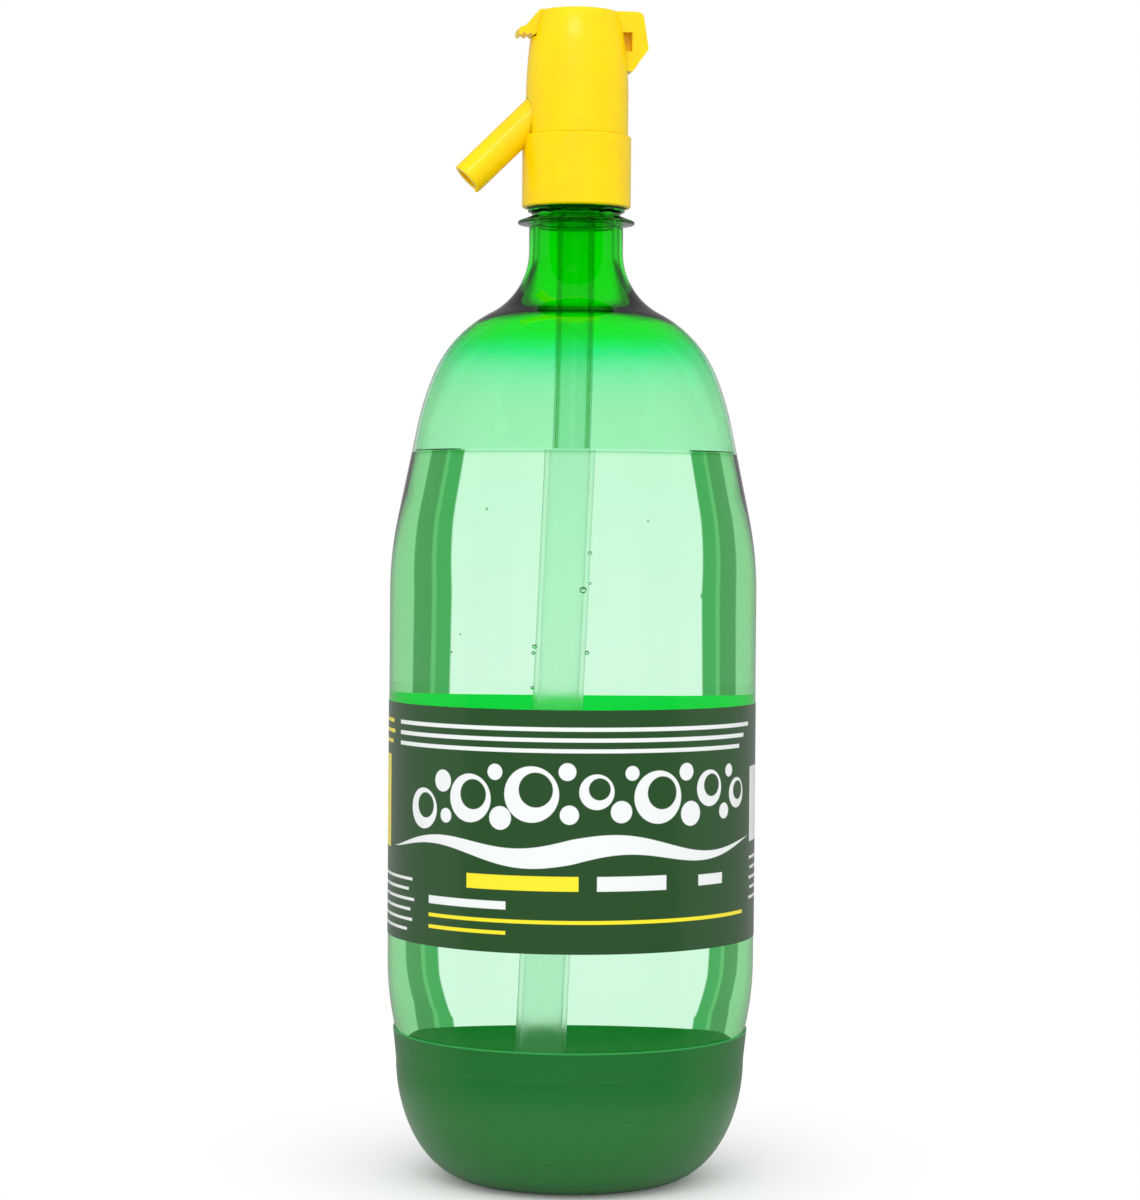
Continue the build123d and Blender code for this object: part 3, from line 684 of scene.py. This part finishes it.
class Outline:
    """An outline of radius and height, drawn in millimetres and then turned round the axis."""

    def __init__(self, radius: float, height: float, heading: float) -> None:
        """Start at a point, heading this many degrees from outward."""
        self.mesh, self.heading = bmesh.new(), heading
        self.tip = self.mesh.verts.new((radius * MM, 0.0, height * MM))

    @property
    def at(self) -> Pair:
        """Where the outline has got to, in millimetres."""
        return self.tip.co.x / MM, self.tip.co.z / MM

    def to(self, radius: float, height: float) -> "Outline":
        """Add a straight line.

        Args:
            radius: Its end's radius.
            height: Its end's height.

        Returns:
            The outline itself.
        """
        self.tip = bmesh.ops.extrude_vert_indiv(self.mesh, verts=[self.tip])["verts"][0]
        self.tip.co = (radius * MM, 0.0, height * MM)
        return self

    def draw(self, run: Run) -> "Outline":
        """Add one run.

        Args:
            run: The run to add.

        Returns:
            The outline itself.
        """
        if not run.turn:
            ahead = radians(self.heading)
            radius, height = self.at
            return self.to(radius + run.size * cos(ahead), height + run.size * sin(ahead))
        inward = radians(self.heading + copysign(RIGHT_ANGLE, run.turn))
        centre = self.tip.co + Vector((cos(inward), 0.0, sin(inward))) * run.size * MM
        made = bmesh.ops.spin(
            self.mesh, geom=[self.tip], cent=centre, axis=(0.0, -1.0, 0.0),
            angle=radians(run.turn), steps=run.steps,
        )
        self.tip = next(item for item in made["geom_last"] if isinstance(item, BMVert))
        self.heading += run.turn
        return self

    def follow(self, runs: Sequence[Run]) -> "Outline":
        """Add several runs."""
        return reduce(Outline.draw, runs, self)

    def turned(self) -> BMesh:
        """Turn the outline round the axis.

        Returns:
            The closed mesh, its faces outward.
        """
        geometry = self.mesh.verts[:] + self.mesh.edges[:]
        bmesh.ops.spin(
            self.mesh, geom=geometry, angle=tau, steps=ROUND_STEPS, use_merge=True, **AXIS
        )
        bmesh.ops.remove_doubles(self.mesh, verts=self.mesh.verts, dist=1e-4 * MM)
        bmesh.ops.recalc_face_normals(self.mesh, faces=self.mesh.faces)
        return self.mesh


def finished(
    name: str, mesh: BMesh, materials: Sequence[Material], node: str
) -> Object:
    """Make an object of a mesh that stands for a CAD node.

    Args:
        name: The piece's name.
        mesh: Its mesh, freed afterwards.
        materials: Its materials, in the order of the faces' numbers.
        node: The CAD node that it replaces.

    Returns:
        The new object.
    """
    data = bpy.data.meshes.new(name)
    mesh.to_mesh(data)
    mesh.free()
    for face in data.polygons:
        face.use_smooth = True
    data.set_sharp_from_angle(angle=radians(CRISP_EDGE))
    for material in materials:
        data.materials.append(material)
    piece = bpy.data.objects.new(name, data)
    bpy.context.scene.collection.objects.link(piece)
    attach(piece, Body.SIPHON.value)
    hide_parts(node)
    LOG.info("%s: %d faces", name, len(data.polygons))
    return piece


def dress(node: str, material: Material) -> None:
    """Give a CAD node its finish.

    Args:
        node: The node's name.
        material: Its material.
    """
    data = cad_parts[node].data
    data.materials.clear()
    data.materials.append(material)
    LOG.info("%s: %s", node, material.name)


@dataclass
class Bottle:
    """The blown bottle: round bottom, straight wall, tapered shoulder and neck finish."""

    body_radius: float = 51.9
    wall: float = 0.6
    neck_radius: float = 13.3
    neck_straight: float = 7.6
    dome_z: float = 4.1
    dome_edge: float = 10.7
    taper: float = 11.6
    middle: float = 22.3
    top: float = 62.8
    heel_share: float = 1.7
    taper_share: float = 2.7
    upper_share: float = 2.1
    lower_share: float = 0.89
    neck_share: float = 0.51
    thin_lean: float = 52.0
    thick_lean: float = 66.0
    flare_share: float = 0.88
    ring_z: float = 270.0
    ring_radius: float = 16.5
    ring_edge: float = 0.8
    ring_root: float = 2.4
    ring_round: float = 0.35
    finish_radius: float = 12.5
    bore: float = 10.9
    rim_z: float = 291.0
    bead: float = 1.2
    bead_width: float = 2.2
    thread_depth: float = 1.2
    thread_sunk: float = 0.3
    thread_half_foot: float = 0.75
    thread_half_crest: float = 0.35
    thread_pitch: float = 3.18
    thread_turns: float = 1.75
    thread_top_gap: float = 3.0
    thread_steps: int = 64
    dome_steps: int = 48
    heel_steps: int = 8
    taper_steps: int = 10
    lower_steps: int = 24
    thin_steps: int = 14
    thick_steps: int = 12
    flare_steps: int = 28
    round_steps: int = 6
    cone_place: int = 4

    @property
    def span(self) -> float:
        """From the neck's radius to the body's."""
        return self.body_radius - self.neck_radius

    @property
    def heel(self) -> float:
        """Radius of the arc between the round bottom and the wall."""
        return self.heel_share * self.body_radius

    @property
    def dome(self) -> float:
        """Radius of the round bottom."""
        edge = radians(self.dome_edge)
        return (self.body_radius - self.heel * (1 - cos(edge))) / cos(edge)

    def arcs(self) -> list[Triple]:
        """The arcs from the wall to the neck.

        Returns:
            Radius, first lean and last lean of each.
        """
        return [
            (self.taper_share * self.span, 0.0, self.taper),
            (self.upper_share * self.span, self.taper, self.middle),
            (self.lower_share * self.span, self.middle, self.top),
            (self.neck_share * self.span, 0.0, self.top),
        ]

    def lengths(self) -> Pair:
        """How long the side's straight runs are.

        Returns:
            Lengths of the straight wall and of the cone above it.
        """
        inward = upward = 0.0
        for radius, start, end in self.arcs():
            inward += radius * (cos(radians(start)) - cos(radians(end)))
            upward += radius * (sin(radians(end)) - sin(radians(start)))
        lean, edge = radians(self.taper), radians(self.dome_edge)
        cone = (self.span - inward) / sin(lean)
        heel_top = self.dome_z + self.dome + (self.heel - self.dome) * sin(edge)
        shoulder = upward + cone * cos(lean)
        return self.ring_z - self.neck_straight - shoulder - heel_top, cone

    def side(self, inset: float) -> list[Run]:
        """The side from the bottom's middle to where the shoulder meets the neck's flare.

        Args:
            inset: How far inside the outer surface it lies.

        Returns:
            Its runs.
        """
        wall, cone = self.lengths()
        taper, upper, lower, _ = self.arcs()
        return [
            Run(self.dome - inset, RIGHT_ANGLE - self.dome_edge, self.dome_steps),
            Run(self.heel - inset, self.dome_edge, self.heel_steps),
            Run(wall),
            Run(taper[0] - inset, self.taper, self.taper_steps),
            Run(cone),
            Run(upper[0] - inset, self.middle - self.taper, self.taper_steps),
            Run(lower[0] - inset, self.top - self.middle, self.lower_steps),
        ]

    def inside(self) -> list[Run]:
        """The inner side, thin up to the shoulder's steep part, then soon as thick as the neck.

        Returns:
            Its runs up to the neck's bore.
        """
        lower = Run(
            self.lower_share * self.span - self.wall, self.thin_lean - self.middle, self.thin_steps
        )
        thin = [*self.side(self.wall)[:-1], lower]
        radius, height = self.end_of(thin, self.wall)
        arc = self.flare_share * (self.neck_share * self.span + self.neck_radius - self.bore)
        start, end = radians(self.thin_lean), radians(self.thick_lean)
        inward = radius - (self.bore + arc - arc * cos(end))
        upward = self.ring_z - self.neck_straight - arc * sin(end) - height
        across, along = cos(start) - cos(end), sin(end) - sin(start)
        bend = (inward * cos(end) - upward * sin(end)) / (
            across * cos(end) - along * sin(end)
        )
        return [
            *thin,
            Run(bend, self.thick_lean - self.thin_lean, self.thick_steps),
            Run((upward - bend * along) / cos(end)),
            Run(arc, -self.thick_lean, self.flare_steps),
        ]

    def end_of(self, runs: Sequence[Run], inset: float) -> Pair:
        """Where runs from the bottom's middle end.

        Args:
            runs: The runs.
            inset: How far inside the outer surface they lie.

        Returns:
            Radius and height of the end.
        """
        probe = Outline(0.0, self.dome_z + inset, 0.0).follow(runs)
        place = probe.at
        probe.mesh.free()
        return place

    def split(self, runs: list[Run], inset: float) -> list[Run]:
        """Part the cone's run at the fill's level.

        Args:
            runs: The side's runs.
            inset: How far inside the outer surface they lie.

        Returns:
            The runs with the cone in two.
        """
        start, (cone, *rest) = runs[: self.cone_place], runs[self.cone_place :]
        rise = FILL_EDGE - self.end_of(start, inset)[1]
        below = rise / cos(radians(self.taper))
        return [*start, Run(below), Run(cone.size - below), *rest]

    def build(self, pet: Material, wet: Material, contact: Material) -> Object:
        """Turn the shell and add the thread.

        Args:
            pet: The bottle's material.
            wet: The same outside, below the fill's level, where it bends light as the fill does.
            contact: Material of the inside that the fill touches.

        Returns:
            The bottle.
        """
        flare = Run(self.neck_share * self.span, -self.top, self.flare_steps)
        outline = Outline(0.0, self.dome_z, 0.0)
        outline.follow(self.split([*self.side(0.0), flare], 0.0))
        self.draw_finish(outline)
        outline.heading = -RIGHT_ANGLE
        outline.follow([run.back() for run in reversed(self.split(self.inside(), self.wall))])
        mesh = outline.turned()
        for face in mesh.faces:
            centre = face.calc_center_median()
            if centre.z < FILL_EDGE * MM:
                domed = centre.z < self.dome * MM
                height = (self.dome_z + self.dome) * MM if domed else centre.z
                outward = face.normal.dot(centre - Vector((0.0, 0.0, height))) > 0
                face.material_index = 1 if outward else 2
        self.add_thread(mesh)
        return finished("clear_bottle", mesh, [pet, wet, contact], "bottle")

    def draw_finish(self, outline: Outline) -> None:
        """Draw the neck's support ring, bead, rim and bore.

        Args:
            outline: The bottle's outline, at the top of the neck's flare.
        """
        edge, steps = self.ring_round, self.round_steps
        fall = self.ring_root - self.ring_edge
        slope = degrees(atan2(fall, self.ring_radius - self.finish_radius))
        outline.to(self.neck_radius, self.ring_z - edge).draw(Run(edge, -RIGHT_ANGLE, steps))
        outline.to(self.ring_radius - edge, self.ring_z).draw(Run(edge, RIGHT_ANGLE, steps))
        outline.to(self.ring_radius, self.ring_z + self.ring_edge - edge / 2)
        outline.draw(Run(edge, RIGHT_ANGLE - slope, steps))
        root_z, bead_radius = self.ring_z + self.ring_root, self.finish_radius + self.bead
        for radius, height in (
            (self.finish_radius, root_z),
            (self.finish_radius, root_z + self.bead / 2),
            (bead_radius, root_z + self.bead),
            (bead_radius, root_z + self.bead_width),
            (self.finish_radius, root_z + self.bead + self.bead_width),
            (self.finish_radius, self.rim_z),
            (self.bore, self.rim_z),
            (self.bore, self.ring_z - self.neck_straight),
        ):
            outline.to(radius, height)

    def add_thread(self, mesh: BMesh) -> None:
        """Wind the neck's screw thread, its root sunk in the wall.

        Args:
            mesh: The bottle's mesh.
        """
        shell = set(mesh.faces)
        rise = self.thread_pitch * self.thread_turns
        bottom = self.rim_z - self.thread_top_gap - rise
        root = self.finish_radius - self.thread_sunk
        crest = self.finish_radius + self.thread_depth
        foot, land = self.thread_half_foot, self.thread_half_crest
        corners = [
            mesh.verts.new((radius * MM, 0.0, (bottom + step) * MM))
            for radius, step in ((root, -foot), (crest, -land), (crest, land), (root, foot))
        ]
        start = mesh.faces.new(corners)
        steps = int(self.thread_steps * self.thread_turns)
        made = bmesh.ops.spin(
            mesh, geom=start.verts[:] + start.edges[:], angle=tau * self.thread_turns,
            steps=steps, dvec=(0.0, 0.0, rise * MM / steps), **AXIS,
        )
        mesh.faces.new([item for item in made["geom_last"] if isinstance(item, BMVert)])
        thread = [face for face in mesh.faces if face not in shell]
        bmesh.ops.recalc_face_normals(mesh, faces=thread)


@dataclass
class Fill:
    """The water, against the bottle's inside, and its bubbles: the place and radius of each."""

    bottle: Bottle
    gap: float = 0.02
    meniscus_lean: float = 30.0
    meniscus_steps: int = 8
    level_rise: float = 0.05
    bubble_sides: int = 20
    bubble_rows: int = 12
    bubbles: tuple[tuple[float, float, float, float], ...] = (
        (2.7, -5.9, 176.0, 0.5), (1.2, -6.2, 166.8, 0.85), (2.8, -5.9, 168.5, 0.35),
        (-9.2, -4.4, 151.1, 0.6), (-9.4, -4.2, 149.3, 0.5), (2.2, -5.8, 149.5, 0.55),
        (-9.6, -4.4, 139.6, 0.5), (-27.0, -28.0, 188.7, 0.4), (13.6, -34.0, 185.6, 0.35),
        (-36.0, -26.0, 150.0, 0.3), (-34.0, -28.0, 155.0, 0.25),
    )

    def build(self, water: Material, contact: Material) -> Object:
        """Turn the fill and put its bubbles in.

        Args:
            water: The fill's material.
            contact: Material of the sides that touch the bottle.

        Returns:
            The fill.
        """
        bottle, lean = self.bottle, self.meniscus_lean
        inset = bottle.wall + self.gap
        outline = Outline(0.0, bottle.dome_z + inset, 0.0)
        outline.follow(bottle.side(inset)[: bottle.cone_place])
        rise = FILL_EDGE - outline.at[1]
        outline.draw(Run(rise / cos(radians(bottle.taper))))
        outline.heading = lean - 3 * RIGHT_ANGLE
        hollow = MENISCUS / (1 - sin(radians(lean)))
        outline.draw(Run(hollow, lean - RIGHT_ANGLE, self.meniscus_steps))
        mesh = outline.to(0.0, FILL_LEVEL).turned()
        for face in mesh.faces:
            high = face.calc_center_median().z > (FILL_LEVEL - self.gap) * MM
            face.material_index = 0 if high and face.normal.z > self.level_rise else 1
        for *place, radius in self.bubbles:
            made = bmesh.ops.create_uvsphere(
                mesh, u_segments=self.bubble_sides, v_segments=self.bubble_rows,
                radius=radius * MM, matrix=Matrix.Translation(Vector(place) * MM),
            )
            faces = {face for vert in made["verts"] for face in vert.link_faces}
            bmesh.ops.reverse_faces(mesh, faces=list(faces))
        return finished("soda_fill", mesh, [water, contact], "soda_water")


@dataclass
class DipTube:
    """The milky tube from the valve down to the bottom, leaning a little."""

    radius: float = 5.4
    wall: float = 1.2
    top: float = 291.75
    straight: float = 21.95
    bend: float = 2400.0
    lean: float = 1.9
    bottom: float = 11.7
    sides: int = 64
    bend_steps: int = 4

    def build(self, dry: Material, wet: Material) -> Object:
        """Draw the tube down its path.

        Args:
            dry: Its material above the fill.
            wet: Its material in the fill, which bends light less there.

        Returns:
            The tube.
        """
        mesh = bmesh.new()
        outer_start, outer_end = self.shell(mesh, self.radius)
        outer = set(mesh.faces)
        bore_start, bore_end = self.shell(mesh, self.radius - self.wall)
        bmesh.ops.reverse_faces(mesh, faces=[face for face in mesh.faces if face not in outer])
        bmesh.ops.bridge_loops(mesh, edges=outer_start + bore_start)
        bmesh.ops.bridge_loops(mesh, edges=outer_end + bore_end)
        bmesh.ops.recalc_face_normals(mesh, faces=mesh.faces)
        for face in mesh.faces:
            face.material_index = int(face.calc_center_median().z < FILL_LEVEL * MM)
        return finished("feed_tube", mesh, [dry, wet], "dip_tube")

    def shell(self, mesh: BMesh, radius: float) -> tuple[list[BMEdge], list[BMEdge]]:
        """Draw one of the tube's two surfaces down its path, parted at the fill's level.

        Args:
            mesh: The mesh to add to.
            radius: The surface's radius.

        Returns:
            The edges of its upper and of its lower end.
        """
        circle = bmesh.ops.create_circle(
            mesh, segments=self.sides, radius=radius * MM,
            matrix=Matrix.Translation((0.0, 0.0, self.top * MM)),
        )["verts"]
        start = end = list({edge for vert in circle for edge in vert.link_edges})
        bend_top = self.top - self.straight
        lean, still = radians(self.lean), Vector()
        to_level = asin((bend_top - FILL_LEVEL) / self.bend)
        fall = bend_top - self.bend * sin(lean) - self.bottom
        for angle, steps, way in (
            (0.0, 1, Vector((0.0, 0.0, -self.straight))),
            (to_level, self.bend_steps, still),
            (lean - to_level, self.bend_steps, still),
            (0.0, 1, Vector((-fall * tan(lean), 0.0, -fall))),
        ):
            made = bmesh.ops.spin(
                mesh, geom=list({vert for edge in end for vert in edge.verts}) + end,
                cent=(-self.bend * MM, 0.0, bend_top * MM), axis=(0.0, 1.0, 0.0),
                angle=angle, steps=steps, dvec=way * MM,
            )
            end = [item for item in made["geom_last"] if isinstance(item, BMEdge)]
        return start, end


@dataclass
class LabelSleeve:
    """The printed film round the straight wall."""

    height: float = 65.8
    inner: float = 51.94
    facing: float = 0.5

    def build(self, printed: Material, backing: Material) -> Object:
        """Turn the sleeve, its outside printed and its inside plain.

        Args:
            printed: The outside's material.
            backing: The inside's material.

        Returns:
            The sleeve.
        """
        top = LABEL_BOTTOM + self.height
        outline = Outline(self.inner, LABEL_BOTTOM, 0.0)
        outline.to(LABEL_RADIUS, LABEL_BOTTOM).to(LABEL_RADIUS, top)
        mesh = outline.to(self.inner, top).to(self.inner, LABEL_BOTTOM).turned()
        for face in mesh.faces:
            centre = face.calc_center_median().xy
            outward = face.normal.xy.dot(centre) > self.facing * centre.length
            face.material_index = 0 if outward else 1
        return finished("wrap_label", mesh, [printed, backing], "label_sleeve")


@dataclass
class Head:
    """The yellow valve head and the pieces inside it, which keep their CAD shapes."""

    yellow: tuple[str, ...] = ("valve_body", "hood", "rocker", "lever")
    white: tuple[str, ...] = (
        "seat_plug", "spring_washer", "bonnet", "valve_stem", "disc_button", "lift_collar",
    )
    rubber: tuple[str, ...] = ("neck_gasket", "stem_oring", "bonnet_oring", "valve_disc")
    steel: tuple[str, ...] = ("valve_spring", "rocker_pin")
    spring_top: float = 310.6
    spring_length: float = 10.6
    lift: float = 2.48

    def dress(self) -> None:
        """Give the head's pieces their finishes, and give the valve spring a mesh of its own."""
        finishes = {
            self.yellow: Moulding(
                "yellow_moulding", 0.26, specular=0.4,
                subsurface=0.4, subsurface_radius=(2.0, 0.7, 0.05),
                colour=(1.0, 0.685, 0.0), cloud_colour=(1.0, 0.645, 0.0),
            ),
            self.white: Moulding(
                "white_moulding", 0.4,
                colour=(0.82, 0.82, 0.79), cloud_colour=(0.76, 0.76, 0.73),
            ),
            self.rubber: Cloudy(
                "seal_rubber", 0.6, colour=(0.03, 0.03, 0.03), cloud_colour=(0.05, 0.05, 0.05)
            ),
            self.steel: Cloudy(
                "spring_steel", 0.25, metallic=1.0,
                colour=(0.6, 0.6, 0.62), cloud_colour=(0.5, 0.5, 0.52),
            ),
        }
        for nodes, finish in finishes.items():
            material = finish.material()
            for node in nodes:
                dress(node, material)
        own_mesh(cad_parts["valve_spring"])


@dataclass
class Studio:
    """Floor, surroundings, lamp and camera, all turned to the photograph's side of the object."""

    distance: float = 0.9447
    eye_z: float = 0.186
    aim_z: float = 0.1638
    aside: float = -0.0009
    roll: float = 0.46
    lens: float = 99.9
    sensor: float = 36.0
    clip_start: float = 0.01
    sky: float = 0.76
    sky_key: float = 1.05
    sky_key_up: float = 0.6
    sky_key_near: float = 0.8
    key_power: float = 1.05
    key_size: Pair = (0.4, 0.2)
    key_place: Triple = (-0.12, -0.75, 0.85)
    key_aim_z: float = 0.2
    key_hidden: float = 0.97
    floor_size: float = 6.0
    floor_drop: float = 0.1
    floor_fade: Pair = (0.0, 0.17)
    floor_colour: Colour = (0.94, 0.94, 0.94)
    floor_bounce: Colour = (0.75, 0.75, 0.75)
    floor_mirrored: Pair = (0.085, 0.16)
    backdrop: Stops = (
        (21.9, (1.0, 1.0, 1.0)),
        (22.3, (0.09, 0.416, 0.137)),
        (26.5, (0.09, 0.416, 0.137)),
        (27.1, (0.18, 0.54, 0.21)),
        (28.2, (0.18, 0.54, 0.21)),
        (28.8, (0.10, 0.335, 0.118)),
        (36.9, (0.10, 0.335, 0.118)),
        (37.8, (0.38, 0.70, 0.385)),
    )
    backdrop_shift: float = 0.016
    front_level: float = 0.04
    side_level: float = 0.4
    front_edge: Pair = (-0.40, -0.34)
    ceiling_level: float = 0.24
    ceiling_mirrored: float = 0.75
    ceiling_edge: Pair = (0.16, 0.3)
    guard: float = 1e-5

    def build(self) -> None:
        """Set up everything that isn't part of the object."""
        self.floor()
        self.surroundings()
        self.key()
        self.camera()
        bpy.context.scene.view_settings.view_transform = "Standard"

    def turned(self, x: Any, y: Any) -> tuple[Any, Any]:
        """A level direction's parts to the camera's right and away from the camera."""
        turn = radians(FRONT_AZIMUTH)
        return x * cos(turn) + y * sin(turn), y * cos(turn) - x * sin(turn)

    def out(self, right: float, away: float, up: float) -> Vector:
        """A place given to the camera's right, away from the camera, and up."""
        turn = Matrix.Rotation(radians(FRONT_AZIMUTH), 3, "Z")
        return turn @ Vector((right, away, up))

    def behind(self, tree: Tree, right: Value, away: Value) -> NodeSocket:
        """What clear pieces show: the white backdrop, its edges, the gaps and the lit sides.

        Args:
            tree: The tree to add to.
            right: Direction to the camera's right.
            away: Direction away from the camera.

        Returns:
            The colour.
        """
        reach = (right * right + away * away + self.guard).root()
        side = abs(right / reach + self.backdrop_shift)
        stops = [(sin(radians(angle)), colour) for angle, colour in self.backdrop]
        return tree.tint(side, stops)

    def room(self, away: Value) -> Value:
        """How bright the room is that glossy surfaces mirror: dim on the camera's side."""
        return away.ramp(*self.front_edge) * (self.side_level - self.front_level) + self.front_level

    @staticmethod
    def rays(tree: Tree) -> list[Value]:
        """What kind of ray asks.

        Args:
            tree: The tree to add to.

        Returns:
            Masks of the camera's rays, of mirrored rays, and of rays through clear pieces. The
            last two are zero after a matt surface has scattered the light.
        """
        path = tree.add("ShaderNodeLightPath").outputs
        kinds = ("Is Camera Ray", "Is Glossy Ray", "Is Transmission Ray")
        camera, glossy, passed = (Value(tree, path[kind]) for kind in kinds)
        unscattered = 1.0 - Value(tree, path["Diffuse Depth"]).clamped()
        return [camera, glossy * unscattered, passed * unscattered]

    def floor(self) -> None:
        """Lay the floor, a hair below the object."""
        mesh = bmesh.new()
        bmesh.ops.create_grid(mesh, x_segments=1, y_segments=1, size=self.floor_size)
        bmesh.ops.translate(mesh, verts=mesh.verts, vec=(0.0, 0.0, -self.floor_drop * MM))
        data = bpy.data.meshes.new("floor")
        mesh.to_mesh(data)
        mesh.free()
        data.materials.append(self.floor_finish())
        floor = bpy.data.objects.new("floor", data)
        bpy.context.scene.collection.objects.link(floor)

    def floor_finish(self) -> Material:
        """The pale floor, which keeps the shadow near the object and goes white further out.

        Returns:
            Its material.
        """
        made, tree = blank("pale_floor")
        x, y, _ = tree.parts(tree.place())
        reach = (x * x + y * y + MM * MM).root()
        right, away = self.turned(x, y)
        camera, glossy, passed = self.rays(tree)
        level = 1.0 - glossy * (1.0 - self.room(away / reach))
        grey = tree.add("ShaderNodeCombineColor", {0: level, 1: level, 2: level}).outputs[0]
        shade = tree.blend(passed, grey, self.behind(tree, right, away))
        tone = tree.blend(1.0 - camera, self.floor_colour, self.floor_bounce)
        plain = tree.add("ShaderNodeBsdfDiffuse", {"Color": tone}).outputs[0]
        bright = tree.add("ShaderNodeEmission", {"Color": shade, "Strength": 1.0}).outputs[0]
        mirrored = glossy * reach.ramp(*self.floor_mirrored)
        factor = (reach.ramp(*self.floor_fade) * camera) | mirrored | passed
        tree.surface(tree.add("ShaderNodeMixShader", {0: factor, 1: plain, 2: bright}))
        return made

    def surroundings(self) -> None:
        """White all round, with dark gaps by the backdrop, a dark ceiling and a dim front."""
        world = bpy.data.worlds.new("studio")
        bpy.context.scene.world = world
        world.use_nodes = True
        world.cycles.sampling_method = "NONE"
        tree = Tree(world.node_tree)
        x, y, up = tree.parts(tree.add("ShaderNodeTexCoord").outputs["Generated"])
        right, away = self.turned(x, y)
        above = up.ramp(*self.ceiling_edge)
        camera, glossy, passed = self.rays(tree)
        towards = (up * self.sky_key_up - away * self.sky_key_near).clamped()
        sky = towards * towards * self.sky_key + self.sky
        plain = (1.0 - (camera | glossy | passed)) * sky
        through = passed * (1.0 - above * (1.0 - self.ceiling_level))
        ceiling = 1.0 - above * (1.0 - self.ceiling_mirrored)
        mirrored = (1.0 - passed) * glossy * self.room(away) * ceiling
        strength = camera + (1.0 - camera) * (through + mirrored) + plain
        colour = tree.blend(passed, WHITE, self.behind(tree, right, away))
        back = tree.add("ShaderNodeBackground", {"Color": colour, "Strength": strength})
        tree.add("ShaderNodeOutputWorld", {"Surface": back.outputs[0]})

    def key(self) -> None:
        """One soft lamp above the camera, which smooth and clear surfaces hardly show."""
        data = bpy.data.lights.new("key", "AREA")
        data.energy = self.key_power
        data.shape = "RECTANGLE"
        data.size, data.size_y = self.key_size
        data.use_nodes = True
        tree = Tree(data.node_tree)
        path = tree.add("ShaderNodeLightPath").outputs
        depths = ("Glossy Depth", "Transmission Depth", "Diffuse Depth")
        mirrored, passed, scattered = (Value(tree, path[name]).clamped() for name in depths)
        hidden = (mirrored | passed) * (1.0 - scattered) * self.key_hidden
        glow = tree.add("ShaderNodeEmission", {"Strength": 1.0 - hidden})
        tree.add("ShaderNodeOutputLight", {"Surface": glow.outputs[0]})
        lamp = bpy.data.objects.new("key", data)
        lamp.location = self.out(*self.key_place)
        aim = Vector((0.0, 0.0, self.key_aim_z))
        lamp.rotation_euler = (aim - lamp.location).to_track_quat("-Z", "Y").to_euler()
        bpy.context.scene.collection.objects.link(lamp)

    def camera(self) -> None:
        """The photograph's view."""
        data = bpy.data.cameras.new("camera")
        data.lens = self.lens
        data.sensor_width = self.sensor
        data.clip_start = self.clip_start
        camera = bpy.data.objects.new("camera", data)
        camera.location = self.out(self.aside, -self.distance, self.eye_z)
        aim = self.out(self.aside, 0.0, self.aim_z)
        look = (aim - camera.location).to_track_quat("-Z", "Y").to_matrix()
        roll = Matrix.Rotation(radians(self.roll), 3, "Z")
        camera.rotation_euler = (look @ roll).to_euler()
        bpy.context.scene.collection.objects.link(camera)
        bpy.context.scene.camera = camera


def main() -> None:
    """Build the siphon's looks in order."""
    logging.basicConfig(level=logging.INFO, format="%(name)s: %(message)s")
    bottle = Bottle()
    contact = Contact("wet_contact").material()
    bottle.build(
        GreenPet("green_pet", 0.0, ior=1.42, transmission=1.0).material(),
        WetPet("green_pet_wet", 0.0, ior=WATER_IOR, transmission=1.0).material(),
        contact,
    )
    water = ClearWater("soda_water", 0.0, ior=WATER_IOR, transmission=1.0)
    Fill(bottle).build(water.material(), contact)
    DipTube().build(
        NaturalTube("tube_dry", 0.12, ior=1.45, transmission=0.97).material(),
        NaturalTube("tube_wet", 0.4, ior=1.05, transmission=0.95).material(),
    )
    # painted light: the backing glows green, standing in for light that comes through the film from
    # behind
    backing = Cloudy(
        "label_back", 0.5, colour=(0.005, 0.80, 0.12), cloud_colour=(0.005, 0.85, 0.14),
        glow=(0.0, 0.27, 0.02),
    )
    LabelSleeve().build(LabelPrint("label_print", 0.25).material(), backing.material())
    dress("base_cup", CupMoulding("green_cup", 0.32).material())
    Head().dress()
    Studio().build()


if __name__ == "__main__":
    main()
